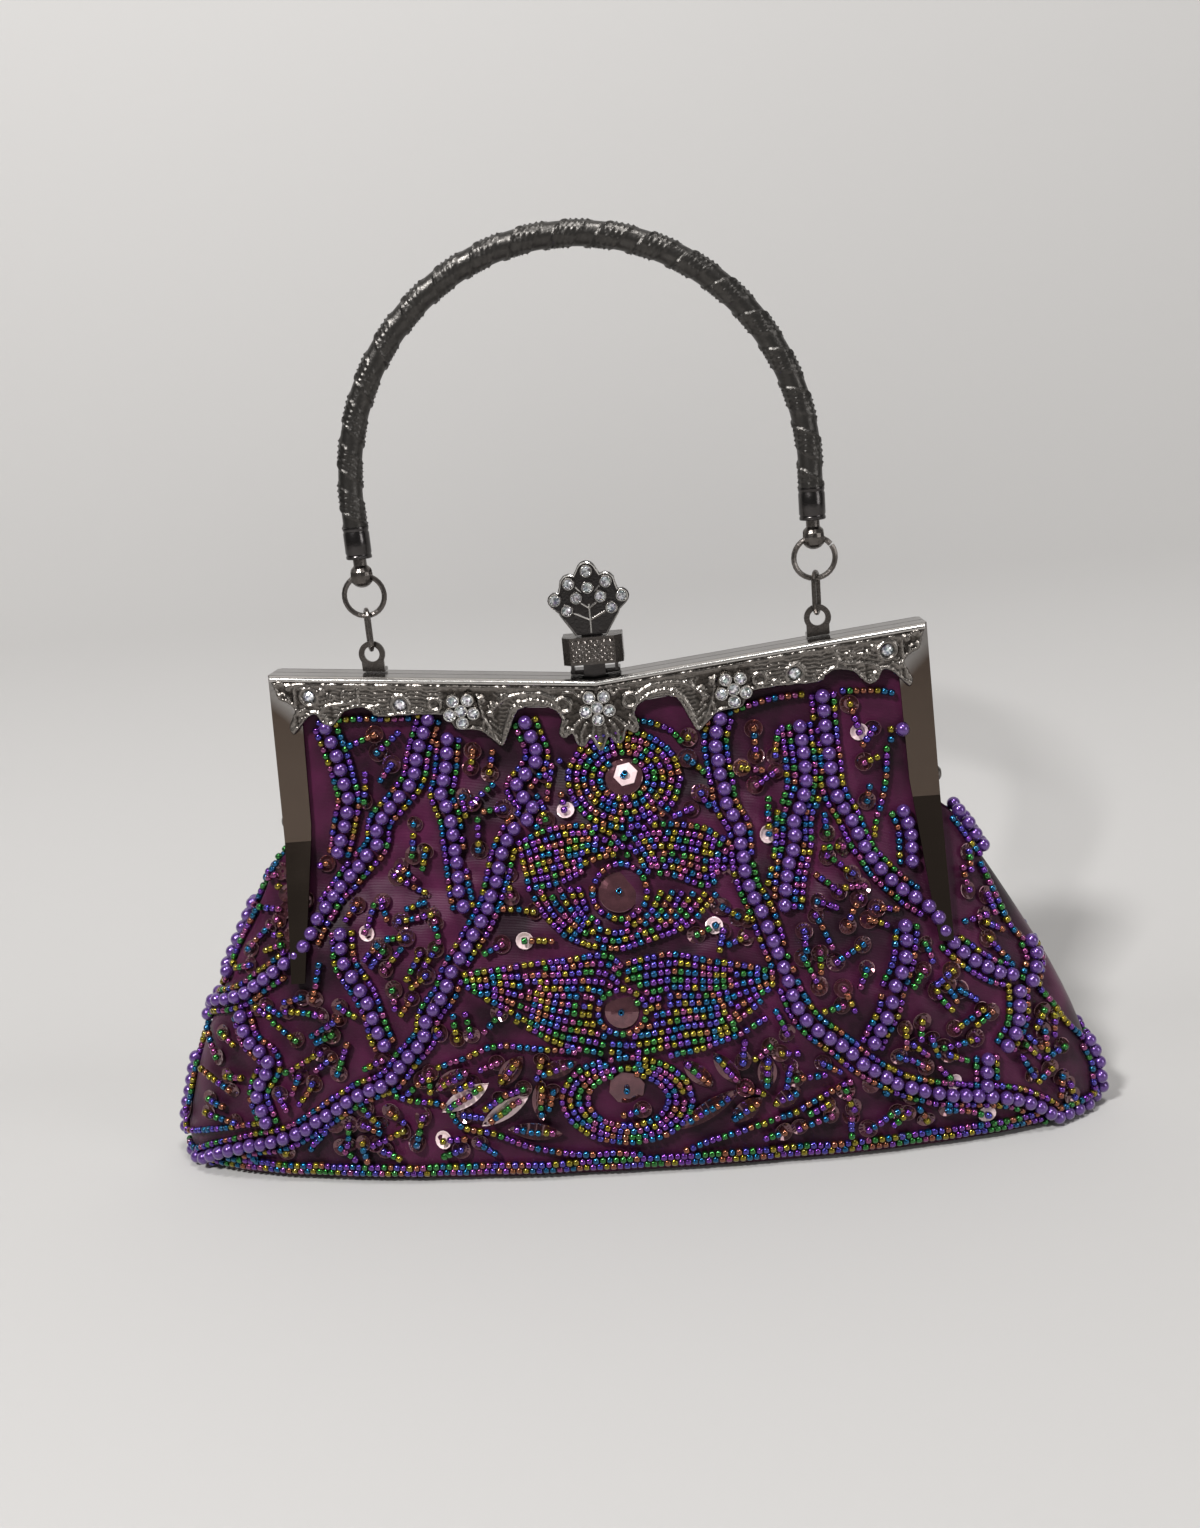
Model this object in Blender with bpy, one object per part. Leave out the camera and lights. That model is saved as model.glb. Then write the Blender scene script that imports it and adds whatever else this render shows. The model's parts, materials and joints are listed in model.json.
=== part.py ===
"""Beaded evening handbag on a hinged metal frame, with a rope handle and a tilting clasp.

Metres. +X is the bag's right side seen from the front, +Y its back, +Z up.
The origin is the middle of the flat base. The frame is shut and the handle stands up.
"""

import math

import bmesh
import bpy
from mathutils import Matrix, Vector
from mathutils.bvhtree import BVHTree

# Metal frame: two U-shaped jaws, hinged halfway down their arms
FRAME_HEIGHT = 0.1270        # top corners above the base
FRAME_WIDTH = 0.1570         # across the top corners
RAIL_DIP = 0.0074            # how far the top rail falls towards its middle
ARM_LENGTH = 0.0750          # top corner to the arm's end
ARM_FLARE_SHARE = 0.050      # how far the upper arms lean outwards for each unit down
HINGE_DROP = 0.0380          # top corner to the hinge axis
JAW_DEPTH = 0.0046           # from the parting plane to a jaw's face
JAW_SHEET = 0.0008           # sheet metal of the jaws
PARTING_GAP = 0.0003         # between the two shut jaws
RAIL_PLATE = 0.0070          # height of the rail's face
ARM_PLATE = 0.0070           # width of an arm's face
ARM_TIP_PLATE = 0.0034       # width of the face at the arm's end
LOWER_FLANGE = 0.0016        # depth of the flange on the arms below the hinge
ARM_SPLAY = math.radians(20)  # how far the lower arms lean apart
EAR_RADIUS = 0.0036          # hinge ears
EAR_GAP = 0.0004             # between the two ears of a hinge
CLEARANCE = 0.0003           # between pieces that touch
OVERRUN = 0.0020             # how far a cutter runs past what it cuts
HINGE_SIDES = 24             # flats round the ears and their holes
TURNED_ANGLE = math.radians(30)  # sharper edges than this stay crisp on turned pieces
CAST_ANGLE = math.radians(40)
WIRE_ANGLE = math.radians(60)
ROPE_ANGLE = math.radians(50)

# Hinge rivets
RIVET_RADIUS = 0.0010
RIVET_HEAD_RADIUS = 0.0019
RIVET_HEAD_HEIGHT = 0.0012
RIVET_TAIL_RADIUS = 0.0016
RIVET_TAIL_HEIGHT = 0.0007
RIVET_DOME_SHARES = ((1.0, 0.0), (0.92, 0.45), (0.60, 0.86), (0.0, 1.0))  # of radius, height
RIVET_SIDES = 16

# Soft body: a satin shell, a card in its base and a lining
BASE_HALF_WIDTH = 0.1185
BASE_HALF_DEPTH = 0.0250
SHELL_THICKNESS = 0.0007
LINING_THICKNESS = 0.0004
BOARD_THICKNESS = 0.0012
PANEL_BULGE = 0.0077         # how far a panel stands out of the frame at the hinge
FABRIC_TOP_DROP = 0.0030     # fabric edge below the rail's top, inside the channel
FABRIC_SIDE_INSET = 0.0026   # fabric edge inside an arm's outer line
SLIT_DROP = 0.0044           # where the side slits end, below the hinge axis
SEAM_HALF_WIDTH = 0.0006     # flat along each side seam
SECTION_POWER = 2.2          # how square the body's level sections are
BULGE_POWER = 1.3            # how a panel fades into the arms beside it
BODY_COLUMNS = 16
BOARD_POINTS = 40

# Rows of the body between the rail and the end of the side slits: how far down, and the
# share of the panel's bulge reached there
UPPER_ROW_SHARES = ((0.05, 0.0), (0.28, 0.07), (0.45, 0.15), (0.66, 0.45), (0.84, 0.76))
# Rows from the slits' end to the base: height, then width and depth on the way to the base's
LOWER_ROW_SHARES = (
    (1.000, 0.000, 0.000), (0.930, 0.155, 0.090), (0.850, 0.255, 0.230), (0.750, 0.380, 0.410),
    (0.626, 0.530, 0.650), (0.450, 0.730, 0.865), (0.220, 0.925, 0.985), (0.045, 1.000, 0.980),
    (0.000, 0.965, 0.900))
OVAL_FULL_SHARE = 0.72    # height of the slits' end below which the section is full

# Strings of pearls sewn on both faces of the satin, as raised ribs
STRING_HEIGHT = 0.0032
STRING_HALF_WIDTH = 0.0017
STRING_TOP_HALF_WIDTH = 0.0009
STRING_ROOT = 0.0004         # how deep a string sits in the satin
STRING_STEP = 0.0055
# Each string's way: share of the body's half width there, share of the frame's height
STRING_SHARES = (
    ((-0.83, 0.82), (-0.81, 0.73), (-0.82, 0.65)),
    ((-0.57, 0.83), (-0.66, 0.73), (-0.72, 0.65), (-0.76, 0.55)),
    ((-0.86, 0.41), (-0.90, 0.37), (-0.92, 0.33)),
    ((-0.49, 0.81), (-0.52, 0.75), (-0.45, 0.63), (-0.40, 0.54)),
    ((-0.21, 0.81), (-0.27, 0.75), (-0.23, 0.69), (-0.31, 0.61), (-0.37, 0.47), (-0.45, 0.34),
     (-0.49, 0.25), (-0.59, 0.18), (-0.75, 0.09), (-0.87, 0.06)),
    ((-0.70, 0.47), (-0.59, 0.36), (-0.54, 0.29)),
    ((-0.87, 0.31), (-0.81, 0.24), (-0.80, 0.14)),
    ((0.35, 0.81), (0.37, 0.69), (0.38, 0.58), (0.39, 0.43), (0.42, 0.28), (0.49, 0.19),
     (0.65, 0.12), (0.78, 0.08), (0.87, 0.06)),
    ((0.62, 0.81), (0.59, 0.69), (0.47, 0.55), (0.44, 0.49)),
    ((0.70, 0.82), (0.70, 0.75), (0.71, 0.60), (0.74, 0.50)),
    ((0.80, 0.37), (0.86, 0.34), (0.89, 0.31)),
    ((0.71, 0.43), (0.63, 0.34), (0.57, 0.26)),
    ((0.88, 0.27), (0.82, 0.19)))

# Cast ornament on the face of each jaw, hanging over the fabric
RIM_HEIGHT = 0.0017
RIM_DEPTH = 0.0013
RIM_STEPS = 6
ORNAMENT_PLATE = 0.0009
ORNAMENT_DROP = 0.0178       # deepest leaf tip below the rail's top
# Lower outline of the ornament's right half: share of the half width, share of the drop
ORNAMENT_OUTLINE_SHARES = (
    (0.000, 1.000), (0.012, 0.945), (0.028, 0.800), (0.045, 0.905), (0.060, 0.925),
    (0.075, 0.870), (0.084, 0.745), (0.100, 0.795), (0.115, 0.805), (0.125, 0.740),
    (0.119, 0.610), (0.114, 0.530), (0.132, 0.420), (0.165, 0.372), (0.215, 0.378),
    (0.245, 0.440), (0.262, 0.570), (0.280, 0.750), (0.303, 0.930), (0.330, 0.845),
    (0.365, 0.725), (0.400, 0.705), (0.440, 0.700), (0.470, 0.530), (0.510, 0.505),
    (0.600, 0.520), (0.680, 0.540), (0.700, 0.470), (0.730, 0.415), (0.780, 0.480),
    (0.805, 0.600), (0.830, 0.690), (0.856, 0.640), (0.870, 0.530), (0.895, 0.560),
    (0.925, 0.700), (0.948, 0.810), (0.960, 0.720), (0.945, 0.560), (0.935, 0.460),
    (0.955, 0.370), (0.980, 0.320), (0.988, 0.220))
ORNAMENT_SIDE_MARGIN = 0.0006

# Stone-set flowers on the ornament
FLOWER_RADIUS = 0.0047
FLOWER_THICKNESS = 0.0010
FLOWER_PETALS = 5
FLOWER_LOBE_SHARE = 0.16     # how deep the notches between petals are
FLOWER_SIDE_PLACE = 0.0326   # side flowers, from the middle
FLOWER_SIDE_DROP = 0.0077    # below the rail's top
FLOWER_CENTRE_DROP = 0.0064

# Handle tabs on the back jaw's rail
TAB_SPACING = 0.1078         # between the tabs, and so between the handle's legs
TAB_PLANE = 0.0010           # the chain and handle hang in this plane, behind the parting
TAB_THICKNESS = 0.0008
EYE_RADIUS = 0.0032
EYE_HOLE_RADIUS = 0.0019
EYE_RISE = 0.0046            # eye centre above the rail
TAB_FOOT_WIDTH = 0.0054
TAB_FOOT_THICKNESS = 0.0008
EYE_SIDES = 28
EYE_HOLE_SIDES = 20

# Chain: one oval link and one round ring on each side
LINK_LENGTH = 0.0109
LINK_WIDTH = 0.0056
LINK_WIRE = 0.0011
LINK_TURN = math.radians(20)
RING_RADIUS = 0.00485        # to the middle of the wire
RING_WIRE = 0.0013
RING_SPLIT = 0.0004
RIGHT_SPLIT_ANGLE = math.radians(35)
LEFT_SPLIT_ANGLE = math.radians(90)
LINK_STEPS = 8               # along each end of a link
RING_STEPS = 28
WIRE_SIDES = 8

# Handle: a stiff round rope with a ferrule and a pierced ball on each end
ROPE_DIAMETER = 0.0058
ROPE_END_DIAMETER = 0.0048
HANDLE_ARCH_HEIGHT = 0.0550
HANDLE_LEG_LENGTH = 0.0129   # ferrule's lower end to where the arch starts
BALL_RADIUS = 0.0029
BALL_HOLE_RADIUS = 0.00095
BALL_HOLE_FLARE_SHARE = 1.35  # how fast the hole widens, against the ring's curve
BALL_STEPS = 8
BALL_SIDES = 18
BALL_HOLE_SIDES = 16
NECK_RADIUS = 0.0016
NECK_LENGTH = 0.0011
FERRULE_LENGTH = 0.0076
FERRULE_RADIUS = 0.0031
FERRULE_WALL = 0.0004
FERRULE_SIDES = 24
ARCH_STEPS = 36
ROPE_SIDES = 12
TIP_FLANGE_RADIUS = 0.0022
TIP_FLANGE_THICKNESS = 0.0006

# Clasp: a block on a bracket, tilting back on a pin, with a fan-shaped ornament on it
BRACKET_HALF_WIDTH = 0.0060
BRACKET_THICKNESS = 0.0009
BRACKET_EAR_THICKNESS = 0.0008
BRACKET_EAR_PLACE = 0.0053
BRACKET_EAR_HEIGHT = 0.0049
BRACKET_EAR_FRONT = 0.0010   # in front of the parting plane
BRACKET_EAR_BACK = 0.0022
PIN_RADIUS = 0.00075
PIN_PLANE = 0.0005           # behind the parting plane
PIN_RISE = 0.0050            # above the rail's lowest point
PIN_SIDES = 14
PIN_HOLE_SIDES = 16
BLOCK_WIDTH = 0.0144
BLOCK_HEIGHT = 0.0066
BLOCK_RISE = 0.0036          # block's lower edge above the rail's lowest point
BLOCK_FRONT = 0.0042
BLOCK_BACK = 0.0044
BLOCK_CHAMFER = 0.0018
BLOCK_WALL = 0.0009
TONGUE_HALF_WIDTH = 0.0026
TONGUE_FRONT = 0.0022
TONGUE_THICKNESS = 0.0008
TONGUE_REACH = 0.0013        # below the rail's lowest point
NOTCH_SIDE_GAP = 0.0006
WINDOW_TOP = 0.0010          # strip of the rail's face left above the window
WINDOW_HEIGHT = 0.0011
SPRING_HALF_WIDTH = 0.0016
SPRING_STRIP = 0.00035
SPRING_FOOT_SHARE = 0.14     # foot's end before the wall, share of the spring's rise
SPRING_HEEL_SHARE = 0.20     # where the strip meets the wall
SPRING_BELLY_SHARE = 0.55    # where it leaves the wall
SPRING_LEAN_SHARE = 0.18     # how far its tip stands off

# Fan ornament
FAN_HEIGHT = 0.0175
FAN_HALF_WIDTH = 0.0097
FAN_THICKNESS = 0.0016
FAN_FRONT = 0.0019           # its face in front of the parting plane
FAN_NECK_HALF_WIDTH = 0.0037
TENON_HALF_WIDTH = 0.0024
TENON_THICKNESS = 0.0010
TENON_LENGTH = 0.0015
STONE_RADIUS = 0.00125
STONE_DEPTH = 0.0007
STONE_BASE_SHARE = 0.80      # foot's radius, share of the stone's
STONE_GIRDLE_SHARE = 0.35    # widest place, share of the depth
STONE_TABLE_SHARE = 0.55
STONE_FACETS = 8
BEZEL_SIDES = 12
POCKET_SIDES = 10
BEZEL_RADIUS = 0.0018
BEZEL_HEIGHT = 0.0003
POCKET_DEPTH = 0.0006
# Stone centres: share of the fan's half width, share of its height
STONE_PLACE_SHARES = (
    (0.0, 0.860), (-0.455, 0.705), (0.455, 0.705), (0.0, 0.640), (-0.820, 0.500),
    (0.820, 0.500), (-0.300, 0.510), (0.300, 0.510), (-0.545, 0.350), (0.545, 0.350))
# Lobes round the fan: centre as the stones, radius as a share of the height, arc in degrees
FAN_LOBE_SHARES = (
    (0.545, 0.350, 0.125, -40, -10), (0.830, 0.500, 0.105, -40, 110),
    (0.455, 0.705, 0.135, -5, 120), (0.0, 0.865, 0.135, 20, 90))
FAN_LOBE_PLACE_SHARE = 0.97
FAN_LOBE_STEPS = 4

# Values that follow from the sizes above
HALF_FRAME = FRAME_WIDTH / 2
HINGE_HEIGHT = FRAME_HEIGHT - HINGE_DROP
BEND_HEIGHT = HINGE_HEIGHT - EAR_RADIUS - 2 * CLEARANCE
SLIT_HEIGHT = HINGE_HEIGHT - SLIT_DROP
ARM_END_HEIGHT = FRAME_HEIGHT - ARM_LENGTH
RAIL_LOW = FRAME_HEIGHT - RAIL_DIP
LIP_BACK = PARTING_GAP / 2 + JAW_SHEET
CHANNEL_FACE = JAW_DEPTH - JAW_SHEET
FABRIC_DEPTH = CHANNEL_FACE - CLEARANCE
LINING_INSET = SHELL_THICKNESS + CLEARANCE
LINING_LIFT = SHELL_THICKNESS + BOARD_THICKNESS + 2 * CLEARANCE
PANEL_LINE = HALF_FRAME + ARM_FLARE_SHARE * HINGE_DROP - ARM_PLATE - 2 * CLEARANCE
HINGE_SIDE = HALF_FRAME + ARM_FLARE_SHARE * HINGE_DROP
BLOCK_LOW = RAIL_LOW + BLOCK_RISE
BLOCK_TOP = BLOCK_LOW + BLOCK_HEIGHT
PIN_HEIGHT = RAIL_LOW + PIN_RISE

MATERIALS = {
    "gunmetal": ((0.30, 0.28, 0.28), 0.18, 1.0),
    "pewter": ((0.36, 0.33, 0.33), 0.34, 1.0),
    "dark_metal": ((0.05, 0.05, 0.055), 0.30, 1.0),
    "satin": ((0.10, 0.025, 0.085), 0.45, 0.0),
    "lining_cloth": ((0.05, 0.015, 0.05), 0.70, 0.0),
    "card": ((0.35, 0.30, 0.24), 0.90, 0.0),
    "rope": ((0.06, 0.055, 0.06), 0.42, 0.3),
    "crystal": ((0.88, 0.90, 0.93), 0.05, 0.0),
}


def clear_scene():
    for old in list(bpy.data.objects):
        bpy.data.objects.remove(old, do_unlink=True)


def material(name, slot):
    """Each piece has its own material, in the finish of its slot."""
    colour, roughness, metallic = MATERIALS[slot]
    made = bpy.data.materials.new(name + "_" + slot)
    made.use_nodes = True
    made.diffuse_color = (*colour, 1.0)
    shader = made.node_tree.nodes["Principled BSDF"]
    shader.inputs["Base Color"].default_value = (*colour, 1.0)
    shader.inputs["Roughness"].default_value = roughness
    shader.inputs["Metallic"].default_value = metallic
    return made


def add_object(name, bm, slot=None, smooth_angle=None):
    """Turn a bmesh into an object; without a slot it is a hidden cutter."""
    bmesh.ops.recalc_face_normals(bm, faces=bm.faces)
    mesh = bpy.data.meshes.new(name)
    bm.to_mesh(mesh)
    bm.free()
    obj = bpy.data.objects.new(name, mesh)
    bpy.context.scene.collection.objects.link(obj)
    if slot is None:
        obj.hide_render = True
        obj.display_type = "WIRE"
    else:
        mesh.materials.append(material(name, slot))
    if smooth_angle is not None:
        mesh.shade_smooth()
        mesh.set_sharp_from_angle(angle=smooth_angle)
    return obj


def combine(obj, cutter, operation):
    step = obj.modifiers.new(cutter.name, "BOOLEAN")
    step.operation = operation
    step.solver = "EXACT"
    step.object = cutter


def prism(outline, low, high, axis="Y"):
    """Extrude a closed outline along an axis; its points are the other two coordinates."""
    place = {
        "X": lambda a, b, c: (c, a, b),
        "Y": lambda a, b, c: (a, c, b),
        "Z": lambda a, b, c: (a, b, c),
    }[axis]
    bm = bmesh.new()
    ring_low = [bm.verts.new(place(a, b, low)) for a, b in outline]
    ring_high = [bm.verts.new(place(a, b, high)) for a, b in outline]
    bm.faces.new(ring_low)
    bm.faces.new(reversed(ring_high))
    for i in range(len(outline)):
        j = (i + 1) % len(outline)
        bm.faces.new((ring_low[i], ring_high[i], ring_high[j], ring_low[j]))
    return bm


def box(x0, x1, y0, y1, z0, z1):
    return prism(((x0, z0), (x1, z0), (x1, z1), (x0, z1)), y0, y1)


def lathe(profile, axis, centre, sides):
    """Spin a closed profile of (radius, height) points; radius 0 closes it on the axis."""
    turn = {"X": Matrix.Rotation(math.pi / 2, 4, "Y"), "Y": Matrix.Rotation(-math.pi / 2, 4, "X"),
            "Z": Matrix.Identity(4)}[axis]
    bm = bmesh.new()
    rings = []
    for radius, height in profile:
        if radius == 0:
            rings.append([bm.verts.new((0, 0, height))])
            continue
        steps = [2 * math.pi * i / sides for i in range(sides)]
        rings.append([bm.verts.new((radius * math.cos(t), radius * math.sin(t), height))
                      for t in steps])
    on_axis = len(rings[0]) == 1 and len(rings[-1]) == 1
    pairs = list(zip(rings, rings[1:])) + ([] if on_axis else [(rings[-1], rings[0])])
    for first, second in pairs:
        point, ring = sorted((first, second), key=len)
        if len(point) == 1 and point[0].co.z == ring[0].co.z:
            bm.verts.remove(point[0])
            bm.faces.new(ring)
            continue
        for i in range(sides):
            j = (i + 1) % sides
            if len(point) == 1:
                bm.faces.new((point[0], ring[i], ring[j]))
            else:
                bm.faces.new((first[i], first[j], second[j], second[i]))
    bmesh.ops.transform(bm, matrix=Matrix.Translation(centre) @ turn, verts=bm.verts)
    return bm


def cylinder(radius, low, high, axis, centre, sides):
    return lathe(((0, low), (radius, low), (radius, high), (0, high)), axis, centre, sides)


def tube(path, radii, sides, across, closed=False):
    """Sweep a circle along points in a flat plane whose normal is across."""
    bm = bmesh.new()
    rings = []
    last = len(path) - 1
    for i, point in enumerate(path):
        before = path[i - 1] if closed or i > 0 else point
        after = path[(i + 1) % len(path)] if closed or i < last else point
        side = (after - before).normalized().cross(across)
        rings.append([])
        for k in range(sides):
            angle = 2 * math.pi * k / sides
            offset = side * math.cos(angle) + across * math.sin(angle)
            rings[-1].append(bm.verts.new(point + radii[i] * offset))
    pairs = list(zip(rings, rings[1:])) + ([(rings[-1], rings[0])] if closed else [])
    for first, second in pairs:
        for k in range(sides):
            j = (k + 1) % sides
            bm.faces.new((first[k], first[j], second[j], second[k]))
    if not closed:
        bm.faces.new(rings[0])
        bm.faces.new(reversed(rings[-1]))
    return bm


def merge(parts):
    """Put several closed shapes into one bmesh, for use as one cutter."""
    joined = bmesh.new()
    for part in parts:
        mesh = bpy.data.meshes.new("step")
        part.to_mesh(mesh)
        part.free()
        joined.from_mesh(mesh)
        bpy.data.meshes.remove(mesh)
    return joined


# Frame lines

def rail_height(x):
    """Top of the rail at a place across the frame."""
    return FRAME_HEIGHT - RAIL_DIP * (1 - min(abs(x) / HALF_FRAME, 1))


def arm_side(z):
    """Outer line of an arm: it leans outwards to the bend and then runs straight down."""
    return HALF_FRAME + ARM_FLARE_SHARE * (FRAME_HEIGHT - max(z, BEND_HEIGHT))


def drawn_side(z):
    """Outer line of an arm before its lower part is bent."""
    return HALF_FRAME + ARM_FLARE_SHARE * (FRAME_HEIGHT - z)


def mirrored(points):
    """Close a right-hand chain of points that starts and ends on the middle line."""
    left = [(-x, z) for x, z in reversed(points) if x > 0]
    return list(points) + left


def u_outline(inset, width_top, width_arm, width_tip, bottom):
    """U shape of a jaw: inset from its outer line, then a rail and arms of these widths."""
    corner_in = HALF_FRAME - width_arm
    right = [
        (0, RAIL_LOW - inset),
        (HALF_FRAME - inset, FRAME_HEIGHT - inset),
        (drawn_side(bottom) - inset, bottom),
        (drawn_side(bottom) - width_tip, bottom),
        (drawn_side(HINGE_HEIGHT) - width_arm, HINGE_HEIGHT),
        (corner_in, rail_height(corner_in) - width_top),
        (0, RAIL_LOW - width_top),
    ]
    return mirrored(right)


def splayed(bm, side):
    """Bend everything below the bend height away from the parting plane and upright."""
    bm.normal_update()
    geometry = bm.verts[:] + bm.edges[:] + bm.faces[:]
    bmesh.ops.bisect_plane(bm, geom=geometry, plane_co=(0, 0, BEND_HEIGHT), plane_no=(0, 0, 1))
    for vert in bm.verts:
        below = BEND_HEIGHT - vert.co.z
        if below > 0:
            vert.co.y += side * math.tan(ARM_SPLAY) * below
            vert.co.x -= math.copysign(ARM_FLARE_SHARE * below, vert.co.x)
    return bm


def side_prism(outline, side, near, far):
    """Prism between two distances from the parting plane, on one side of it."""
    return prism(outline, *sorted((side * near, side * far)))


def hinge_disc(radius, inner, outer, hand):
    """Disc about the hinge axis, between two places across the frame."""
    low, high = sorted((hand * inner, hand * outer))
    return cylinder(radius, low, high, "X", (0, 0, HINGE_HEIGHT), HINGE_SIDES)


def make_jaw(name, side):
    """One jaw: a sheet channel, open inwards, that grips the fabric; side -1 is the front."""
    outline = u_outline(0, RAIL_PLATE, ARM_PLATE, ARM_TIP_PLATE, ARM_END_HEIGHT)
    jaw = add_object(name, splayed(side_prism(outline, side, PARTING_GAP / 2, JAW_DEPTH), side),
                     "gunmetal")

    # the channel that the fabric edge sits in
    inside = [(0, RAIL_LOW - JAW_SHEET),
              (HALF_FRAME - JAW_SHEET, FRAME_HEIGHT - JAW_SHEET),
              (drawn_side(ARM_END_HEIGHT - OVERRUN) - JAW_SHEET, ARM_END_HEIGHT - OVERRUN),
              (0, ARM_END_HEIGHT - OVERRUN)]
    channel = splayed(side_prism(mirrored(inside), side, LIP_BACK, CHANNEL_FACE), side)
    combine(jaw, add_object(name + "_channel", channel), "DIFFERENCE")

    # below the hinge there is no inner lip, and only a shallow flange
    lip_end = HINGE_HEIGHT + EAR_RADIUS + 2 * CLEARANCE
    flange_top = HINGE_HEIGHT - EAR_RADIUS + 2 * CLEARANCE
    lip_side = drawn_side(lip_end) - JAW_SHEET
    lip_cut = box(-lip_side, lip_side, *sorted((-side * OVERRUN, side * (LIP_BACK + OVERRUN))),
                  flange_top - CLEARANCE, lip_end)
    combine(jaw, add_object(name + "_lip_cut", lip_cut), "DIFFERENCE")
    flange_cut = box(-FRAME_WIDTH, FRAME_WIDTH,
                     *sorted((-side * OVERRUN, side * (JAW_DEPTH - LOWER_FLANGE))),
                     ARM_END_HEIGHT - OVERRUN, flange_top)
    combine(jaw, add_object(name + "_flange_cut", splayed(flange_cut, side)), "DIFFERENCE")

    # ears: the front jaw's lie outside the back jaw's
    front_inner = HINGE_SIDE - JAW_SHEET
    back_outer = front_inner - EAR_GAP
    back_inner = back_outer - JAW_SHEET
    ears = []
    for hand in (-1, 1):
        if side < 0:
            ears.append(hinge_disc(EAR_RADIUS, front_inner, HINGE_SIDE, hand))
            continue
        ears.append(hinge_disc(EAR_RADIUS - CLEARANCE, back_inner, back_outer, hand))
    if side > 0:
        room = [hinge_disc(EAR_RADIUS + 2 * CLEARANCE, front_inner - CLEARANCE,
                           HINGE_SIDE + OVERRUN, hand) for hand in (-1, 1)]
        combine(jaw, add_object(name + "_ear_room", merge(room)), "DIFFERENCE")
        for hand in (-1, 1):
            low, high = sorted((hand * back_inner, hand * back_outer))
            web_half = EAR_RADIUS - 3 * CLEARANCE
            ears.append(box(low, high, 0, CHANNEL_FACE + JAW_SHEET / 2,
                            HINGE_HEIGHT - web_half, HINGE_HEIGHT + web_half))
    for i, ear in enumerate(ears):
        combine(jaw, add_object(name + "_ear_%d" % i, ear), "UNION")
    holes = [hinge_disc(RIVET_RADIUS + CLEARANCE, HINGE_SIDE - 4 * JAW_SHEET - EAR_GAP,
                        HINGE_SIDE + OVERRUN, hand) for hand in (-1, 1)]
    combine(jaw, add_object(name + "_rivet_holes", merge(holes)), "DIFFERENCE")

    if side < 0:
        half = TONGUE_HALF_WIDTH + NOTCH_SIDE_GAP
        notch = box(-half, half, -CHANNEL_FACE + CLEARANCE / 3, OVERRUN,
                    RAIL_LOW - RAIL_PLATE - OVERRUN, RAIL_LOW + OVERRUN)
        combine(jaw, add_object(name + "_notch", notch), "DIFFERENCE")
        window_top = RAIL_LOW - WINDOW_TOP
        window = box(-half, half, -JAW_DEPTH - OVERRUN, -CHANNEL_FACE + OVERRUN / 2,
                     window_top - WINDOW_HEIGHT, window_top)
        combine(jaw, add_object(name + "_window", window), "DIFFERENCE")
    return jaw


def make_rivet(name, hand):
    """Hinge rivet: a domed head outside, a shank through both ears and a flat tail."""
    head = HINGE_SIDE + CLEARANCE
    tail = HINGE_SIDE - 2 * JAW_SHEET - EAR_GAP - CLEARANCE
    profile = (
        (0, tail - RIVET_TAIL_HEIGHT), (RIVET_TAIL_RADIUS, tail - RIVET_TAIL_HEIGHT),
        (RIVET_TAIL_RADIUS, tail), (RIVET_RADIUS, tail), (RIVET_RADIUS, head),
        *((RIVET_HEAD_RADIUS * wide, head + RIVET_HEAD_HEIGHT * high)
          for wide, high in RIVET_DOME_SHARES))
    bm = lathe([(r, hand * h) for r, h in profile], "X", (0, 0, HINGE_HEIGHT), RIVET_SIDES)
    add_object(name, bm, "dark_metal", TURNED_ANGLE)


# Soft body

def fabric_half_width(z):
    return arm_side(z) - FABRIC_SIDE_INSET


def body_rows():
    """Rows from the mouth to the base: height in the middle, share of the rail's dip, half
    width, half depth, and how far the section has turned from a framed panel into an oval."""
    start = RAIL_LOW - RAIL_PLATE - CLEARANCE
    heights = [(RAIL_LOW - FABRIC_TOP_DROP, 1.0, 0.0), (start, 1.0, 0.0)]
    for down, bulge in UPPER_ROW_SHARES:
        heights.append((start + (SLIT_HEIGHT - start) * down, 1 - down, bulge))
    rows = [(height, dip, fabric_half_width(height), FABRIC_DEPTH + PANEL_BULGE * bulge, 0.0)
            for height, dip, bulge in heights]
    side = fabric_half_width(SLIT_HEIGHT)
    depth = FABRIC_DEPTH + PANEL_BULGE
    for up, wide, deep in LOWER_ROW_SHARES:
        turned = min(1.0, (1 - up) / (1 - OVAL_FULL_SHARE))
        rows.append((SLIT_HEIGHT * up, 0.0, side + (BASE_HALF_WIDTH - side) * wide,
                     depth + (BASE_HALF_DEPTH - depth) * deep, turned))
    return rows


def section_depth(x, half_width, half_depth, turned, inset):
    """Half depth of the body's level section at a place across it."""
    share = min(abs(x) / PANEL_LINE, 1)
    framed = FABRIC_DEPTH + (half_depth - FABRIC_DEPTH) * (1 - share ** 2) ** BULGE_POWER - inset
    reach = min(abs(x) / half_width, 1)
    oval = (half_depth - inset) * (1 - reach ** SECTION_POWER) ** (1 / SECTION_POWER)
    return max((1 - turned) * framed + turned * oval, SEAM_HALF_WIDTH)


def lifted_row(rows, row, lift):
    """A row of an inner face: raised clear of the base, with the section found there."""
    if row[1] > 0 or lift == 0:
        return row
    height = lift + row[0] * (SLIT_HEIGHT - lift) / SLIT_HEIGHT
    lower = [r for r in rows if r[1] == 0]
    for above, below in zip(lower, lower[1:]):
        if above[0] >= height >= below[0]:
            part = (height - below[0]) / (above[0] - below[0])
            mixed = [b + (a - b) * part for a, b in zip(above[2:], below[2:])]
            return (height, 0.0, *mixed)
    return row


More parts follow.
